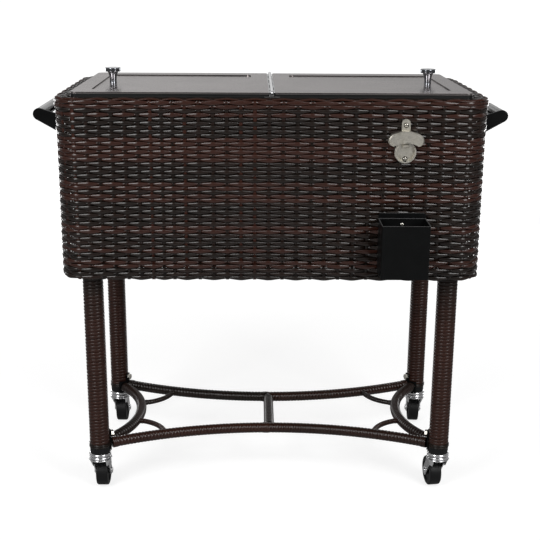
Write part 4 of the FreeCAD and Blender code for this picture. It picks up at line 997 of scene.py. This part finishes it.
@dataclass
class Undercarriage:
    """Wound legs, stretchers, end arcs, crossbar and thin braces.

    Ends are the (x, y) steps in from the leg's axis, and gaps are left bare at a bar's ends. A binding is a
    short winding over another.
    """

    leg_x: float = 359.0
    leg_y: float = 168.0
    leg_z: Pair = (106.5, 486.5)
    leg: Winding = Winding(20.8, 7.2, 1.5, per_turn=24, seed=20)
    leg_start: float = 1.5
    leg_tones: Pair = (0.0, 0.85)
    leg_fade: Pair = (491.0, 140.0)
    leg_binding: Winding = Winding(22.4, 3.6, 1.6, per_turn=24, seed=40)
    leg_binding_run: Pair = (0.4, 7.6)
    bar_z: float = 109.0
    bar_gap: float = 1.0
    stretcher: Winding = Winding(11.25, 7.4, 1.1, seed=60)
    stretcher_end: Pair = (24.0, 8.0)
    stretcher_bow: float = 74.0
    stretcher_tones: tuple[Pair, ...] = ((0.85, 0.45), (0.05, 0.6))
    stretcher_binding: Winding = Winding(11.95, 3.8, 0.9)
    stretcher_binding_run: float = 11.0
    stretcher_binding_lead: float = 13.0
    end_arc: Winding = Winding(11.25, 7.6, 0.9, seed=80)
    end_arc_end: Pair = (14.0, 23.0)
    end_arc_bow: float = 55.0
    end_arc_tone: float = 0.25
    crossbar: Winding = Winding(11.25, 8.0, 0.55, seed=90)
    crossbar_gap: float = 9.0
    dark_tone: float = 0.1
    brace: Winding = Winding(5.75, 6.0, 0.6, per_turn=14, seed=100)
    brace_from: Pair = (48.0, 134.0)
    brace_bow: float = 17.0
    brace_gap: float = 7.0
    brace_tones: Pair = (0.75, 0.15)
    brace_binding: Winding = Winding(6.35, 3.4, 0.6, per_turn=14)
    brace_binding_run: float = 7.0
    brace_binding_gap: float = 8.0

    def _stretcher(self, sy: int) -> tuple[Point, Point, Point]:
        """Three points of the front or rear stretcher's axis."""
        x, y = self.leg_x - self.stretcher_end[0], self.leg_y - self.stretcher_end[1]
        middle = (0.0, sy * (y - self.stretcher_bow), self.bar_z)
        return (-x, sy * y, self.bar_z), middle, (x, sy * y, self.bar_z)

    def _end_arc(self, sx: int) -> tuple[Point, Point, Point]:
        """Three points of the left or right end arc's axis."""
        x, y = self.leg_x - self.end_arc_end[0], self.leg_y - self.end_arc_end[1]
        middle = (sx * (x - self.end_arc_bow), 0.0, self.bar_z)
        return (sx * x, -y, self.bar_z), middle, (sx * x, y, self.bar_z)

    def build(self, palette: Palette) -> list[Piece]:
        """Winds every bar."""
        return [*self._legs(palette), *self._rails(palette), self._braces(palette)]

    def _leg_tone(self, place: Array) -> Array:
        """Tone of a leg by height: brown at the foot and black at the top."""
        level, run = self.leg_fade
        return np.clip((level - place[:, 2]) / run, *self.leg_tones)

    def _legs(self, palette: Palette) -> list[Piece]:
        """Winds the legs and binds their lower ends.

        Args:
            palette: Finishes.

        Returns:
            The pieces.
        """
        pieces = []
        for number, corner in enumerate(Corner):
            sx, sy = corner.value
            path, length = straight(*((sx * self.leg_x, sy * self.leg_y, z) for z in self.leg_z))
            batch = MeshBatch("leg_winding_" + corner.key)
            winding, binding = self.leg.seeded(number), self.leg_binding.seeded(number)
            winding.add(batch, path, self.leg_start, length, self._leg_tone)
            binding.add(batch, path, *self.leg_binding_run, self.dark_tone)
            pieces.append(batch.build(palette.bar_resin, "cart", "wicker", ("leg_wrap_" + corner.key,)))
        return pieces

    def _rails(self, palette: Palette) -> list[Piece]:
        """Winds the stretchers, with bindings at their middle and ends, the end arcs and the crossbar.

        Args:
            palette: Finishes.

        Returns:
            The pieces.
        """
        gap, run = self.bar_gap, self.stretcher_binding_run
        pieces = []
        for name, sy, tones in zip(("front", "rear"), (-1, 1), self.stretcher_tones):
            path, length = level_arc(*self._stretcher(sy))
            batch = MeshBatch("stretcher_winding_" + name)
            self.stretcher.seeded(sy).add(batch, path, gap, length - gap, halves(*tones))
            for at in (gap, length / 2 - self.stretcher_binding_lead, length - gap - run):
                self.stretcher_binding.add(batch, path, at, at + run, halves(*tones))
            pieces.append(batch.build(palette.resin, "cart", "wicker", ("stretcher_" + name,)))
        for name, sx in (("left", -1), ("right", 1)):
            path, length = level_arc(*self._end_arc(sx))
            batch = MeshBatch("end_arc_winding_" + name)
            self.end_arc.seeded(sx).add(batch, path, gap, length - gap, self.end_arc_tone)
            pieces.append(batch.build(palette.bar_resin, "cart", "wicker", ("end_arc_" + name,)))
        path, length = straight(self._stretcher(-1)[1], self._stretcher(1)[1])
        batch = MeshBatch("crossbar_winding")
        self.crossbar.add(batch, path, self.crossbar_gap, length - self.crossbar_gap, self.dark_tone)
        return [*pieces, batch.build(palette.bar_resin, "cart", "wicker", ("crossbar",))]

    def _braces(self, palette: Palette) -> Piece:
        """Winds the four thin braces, each with a short binding at its two ends.

        Args:
            palette: Finishes.

        Returns:
            The piece.
        """
        batch = MeshBatch("brace_windings")
        for corner in Corner:
            sx, sy = corner.value
            start = self._on_arc(self._end_arc(sx), 1, sy * self.brace_from[0])
            end = self._on_arc(self._stretcher(sy), 0, sx * (self.leg_x - self.brace_from[1]))
            chord = end - start
            square = np.array([-chord[1], chord[0], 0.0]) / np.linalg.norm(chord)
            square *= -1.0 if square[0] * sx > 0 else 1.0
            path, length = level_arc(start, (start + end) / 2 + square * self.brace_bow, end)
            tone = self.brace_tones[0 if sy < 0 else 1]
            self.brace.add(batch, path, self.brace_gap, length - self.brace_gap, tone)
            run = self.brace_binding_run
            for at in (self.brace_binding_gap, length - self.brace_binding_gap - run):
                self.brace_binding.add(batch, path, at, at + run, tone)
        return batch.build(palette.resin, "cart", "wicker", ("corner_braces",))

    @staticmethod
    def _on_arc(points: Sequence[Sequence[float]], axis: int, value: float) -> Array:
        """Point of an arc where one plan coordinate has a value.

        Args:
            points: Three points of the arc.
            axis: 0 for x, 1 for y.
            value: The coordinate there.

        Returns:
            The point.
        """
        path, length = level_arc(*points)
        place = path(np.linspace(0, length, ARC_SAMPLES))[0]
        return place[np.argmin(np.abs(place[:, axis] - value))]


@dataclass
class Hardware:
    """Finishes of the pieces whose CAD shape is kept, by the starts of their names."""

    finishes: dict[str, tuple[str, ...]] = field(
        default_factory=lambda: {
            "lid": ("lid_skin_left", "lid_skin_right"),
            "chrome": ("caster_stems", "fork_", "axle_", "hinge_rod", "centre_bar"),
            "hinge": ("hinge_leaf_",),
            # The knobs' chrome is darkened as painted reflection of a dark room.
            "dark_chrome": ("knob_",),
            "zinc": ("bracket_bolts", "front_screws", "handle_screws"),
            "nickel": ("bottle_opener",),
            "grip": ("handle_grip_",),
            "powder": ("handle_arms_", "saddle_brackets", "steel_frame", "leg_tube_"),
            "folded": ("cap_catcher",),
            "moulded": ("foot_plugs", "lid_liner_", "outer_case", "case_floor", "drain_"),
            "rubber": ("wheel_",),
            "seal": ("lid_gasket",),
            "tub": ("inner_tub",),
            "foam": ("foam_insulation",),
        }
    )

    def build(self, palette: Palette) -> list[Piece]:
        """Gives each kept node its finish.

        Args:
            palette: Finishes.

        Returns:
            The pieces.
        """
        dressed = []
        for name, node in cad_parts.items():
            for finish, starts in self.finishes.items():
                if name.startswith(starts):
                    node.data.materials.clear()
                    node.data.materials.append(getattr(palette, finish))
                    dressed.append(node)
        return dressed


@dataclass(frozen=True)
class Lamp:
    """A soft rectangular lamp, itself out of the camera's sight."""

    name: str
    place: Point
    size: Pair
    power: float

    def build(self, target: Point) -> None:
        """Hangs the lamp and aims it.

        Args:
            target: Point that it is aimed at.
        """
        data = bpy.data.lights.new(self.name, "AREA")
        data.shape = "RECTANGLE"
        data.size, data.size_y = self.size
        data.energy = self.power
        lamp = bpy.data.objects.new(self.name, data)
        lamp.location = self.place
        aim = Vector(target) - Vector(self.place)
        lamp.rotation_euler = aim.to_track_quat("-Z", "Y").to_euler()
        lamp.visible_camera = False
        bpy.context.scene.collection.objects.link(lamp)


@dataclass
class Studio:
    """Pale floor, soft lamps, even surround and the camera.

    Glow is what the camera sees of the floor, near and far. Mirrored is the glow for mirrors, low and high,
    which is multiplied by the sides' shares, left and right, and by the share ahead of the cart.
    """

    focal_pixels: float = 1032.0
    picture: float = 540.0
    sensor: float = 36.0
    eye: Point = (-0.0318, -2.1685, 1.0728)
    pitch: float = 16.158
    yaw: float = -0.868
    roll: float = 0.38
    floor_half: float = 8.0
    floor_flat: float = 4.5
    floor_cells: int = 48
    wall: float = 3.0
    paint: float = 0.40
    paint_rough: float = 0.9
    glow_at: Pair = (0.7, 4.0)
    glow: Pair = (0.74, 0.97)
    mirrored_at: Pair = (0.1, 1.6)
    mirrored: Pair = (0.04, 0.70)
    sides_at: Pair = (-2.0, 2.0)
    sides: Pair = (1.25, 0.80)
    ahead_at: Pair = (0.2, 2.0)
    ahead: float = 0.16
    surround: float = 0.22
    target: Point = (0.0, 0.0, 0.55)
    lamps: tuple[Lamp, ...] = (
        Lamp("left", (-1.45, -1.9, 1.75), (0.9, 1.7), 40.0),
        Lamp("right", (1.45, -1.9, 1.75), (0.9, 1.7), 40.0),
        Lamp("top", (0.0, 0.7, 2.7), (2.2, 1.2), 7.0),
        Lamp("rear_left", (-1.5, 2.1, 0.42), (0.9, 0.7), 15.0),
        Lamp("rear_right", (1.5, 2.1, 0.42), (0.9, 0.7), 15.0),
    )

    def build(self) -> None:
        """Makes the floor, the lamps, the surround and the camera."""
        self._floor()
        for lamp in self.lamps:
            lamp.build(self.target)
        self._surround()
        self._camera()
        bpy.context.scene.view_settings.view_transform = "Standard"

    def _floor(self) -> None:
        """A wide pale floor that rises into a low backdrop all round.

        Height is a smooth step of the distance from the middle: nought near the cart, the wall's height
        outside.
        """
        n = self.floor_cells
        t = np.linspace(-self.floor_half, self.floor_half, n + 1)
        x, y = np.meshgrid(t, t, indexing="ij")
        f = np.clip((np.hypot(x, y) - self.floor_flat) / (self.floor_half - self.floor_flat), 0, 1)
        z = self.wall * f * f * (3 - 2 * f)
        i, j = np.meshgrid(np.arange(n), np.arange(n), indexing="ij")
        corner = i * (n + 1) + j
        quads = np.stack([corner, corner + n + 1, corner + n + 2, corner + 1], -1).reshape(-1, 4)
        mesh = bpy.data.meshes.new("floor")
        mesh.from_pydata(np.stack([x, y, z], -1).reshape(-1, 3).tolist(), [], quads.tolist())
        mesh.polygons.foreach_set("use_smooth", np.ones(len(quads), bool))
        mesh.materials.append(self._floor_finish())
        floor = bpy.data.objects.new("floor", mesh)
        bpy.context.scene.collection.objects.link(floor)

    def _floor_finish(self) -> Material:
        """Matt pale paint with a glow for the camera and another for mirrors.

        The camera's glow grows with the distance from the cart, so the shadow stays. The mirrors' one is
        bright high up at the back and dim in front.

        Returns:
            The material.
        """
        s = Shader("pale_floor")
        place = s.node("TexCoord").outputs["Object"]
        far = s.node("VectorMath", {"operation": "LENGTH"}, Vector=place).outputs["Value"]
        back = s.ramp(s.axis("Y"), *self.ahead_at, self.ahead, 1.0)
        high = s.ramp(s.axis("Z"), *self.mirrored_at, *self.mirrored)
        left = s.ramp(s.axis("X"), *self.sides_at, *self.sides)
        mirrored = s.math("MULTIPLY", s.math("MULTIPLY", back, high), left)
        ray = s.node("LightPath").outputs
        camera = s.math("MULTIPLY", ray["Is Camera Ray"], s.ramp(far, *self.glow_at, *self.glow))
        mirror = s.math("MAXIMUM", ray["Is Glossy Ray"], ray["Is Transmission Ray"])
        return s.dress(
            Base_Color=grey(self.paint),
            Roughness=self.paint_rough,
            Specular_IOR_Level=0.0,
            Emission_Color=grey(1.0),
            Emission_Strength=s.math("MULTIPLY_ADD", mirror, mirrored, camera),
        )

    def _surround(self) -> None:
        """A dim even surround above the backdrop."""
        world = bpy.data.worlds.new("surround")
        world.use_nodes = True
        back = world.node_tree.nodes["Background"]
        back.inputs["Color"].default_value = grey(1.0)
        back.inputs["Strength"].default_value = self.surround
        bpy.context.scene.world = world

    def _camera(self) -> None:
        """A camera at the photograph's place, turned by its pitch, yaw and roll."""
        data = bpy.data.cameras.new("camera")
        data.sensor_width = self.sensor
        data.lens = self.sensor * self.focal_pixels / self.picture
        pitch, yaw, roll = (math.radians(a) for a in (self.pitch, self.yaw, self.roll))
        right = Vector((math.cos(yaw), math.sin(yaw), 0.0))
        level = Vector((-math.sin(yaw), math.cos(yaw), 0.0))
        ahead = level * math.cos(pitch) - Vector((0.0, 0.0, math.sin(pitch)))
        up = right.cross(ahead)
        side = right * math.cos(roll) + up * math.sin(roll)
        high = up * math.cos(roll) - right * math.sin(roll)
        turn = Matrix((side, high, -ahead)).transposed().to_4x4()
        camera = bpy.data.objects.new("camera", data)
        camera.matrix_world = Matrix.Translation(Vector(self.eye)) @ turn
        bpy.context.scene.collection.objects.link(camera)
        bpy.context.scene.camera = camera


def main() -> None:
    logging.basicConfig(level=logging.INFO, format="%(name)s: %(message)s")
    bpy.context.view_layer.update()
    palette = Palette()
    for assembly in (Hardware(), WovenBody(), Undercarriage()):
        for piece in assembly.build(palette):
            LOG.info("%s: %d faces", piece.name, len(piece.data.polygons))
    Studio().build()
    bpy.context.view_layer.update()
    LOG.info("cart dressed")


if __name__ == "__main__":
    main()
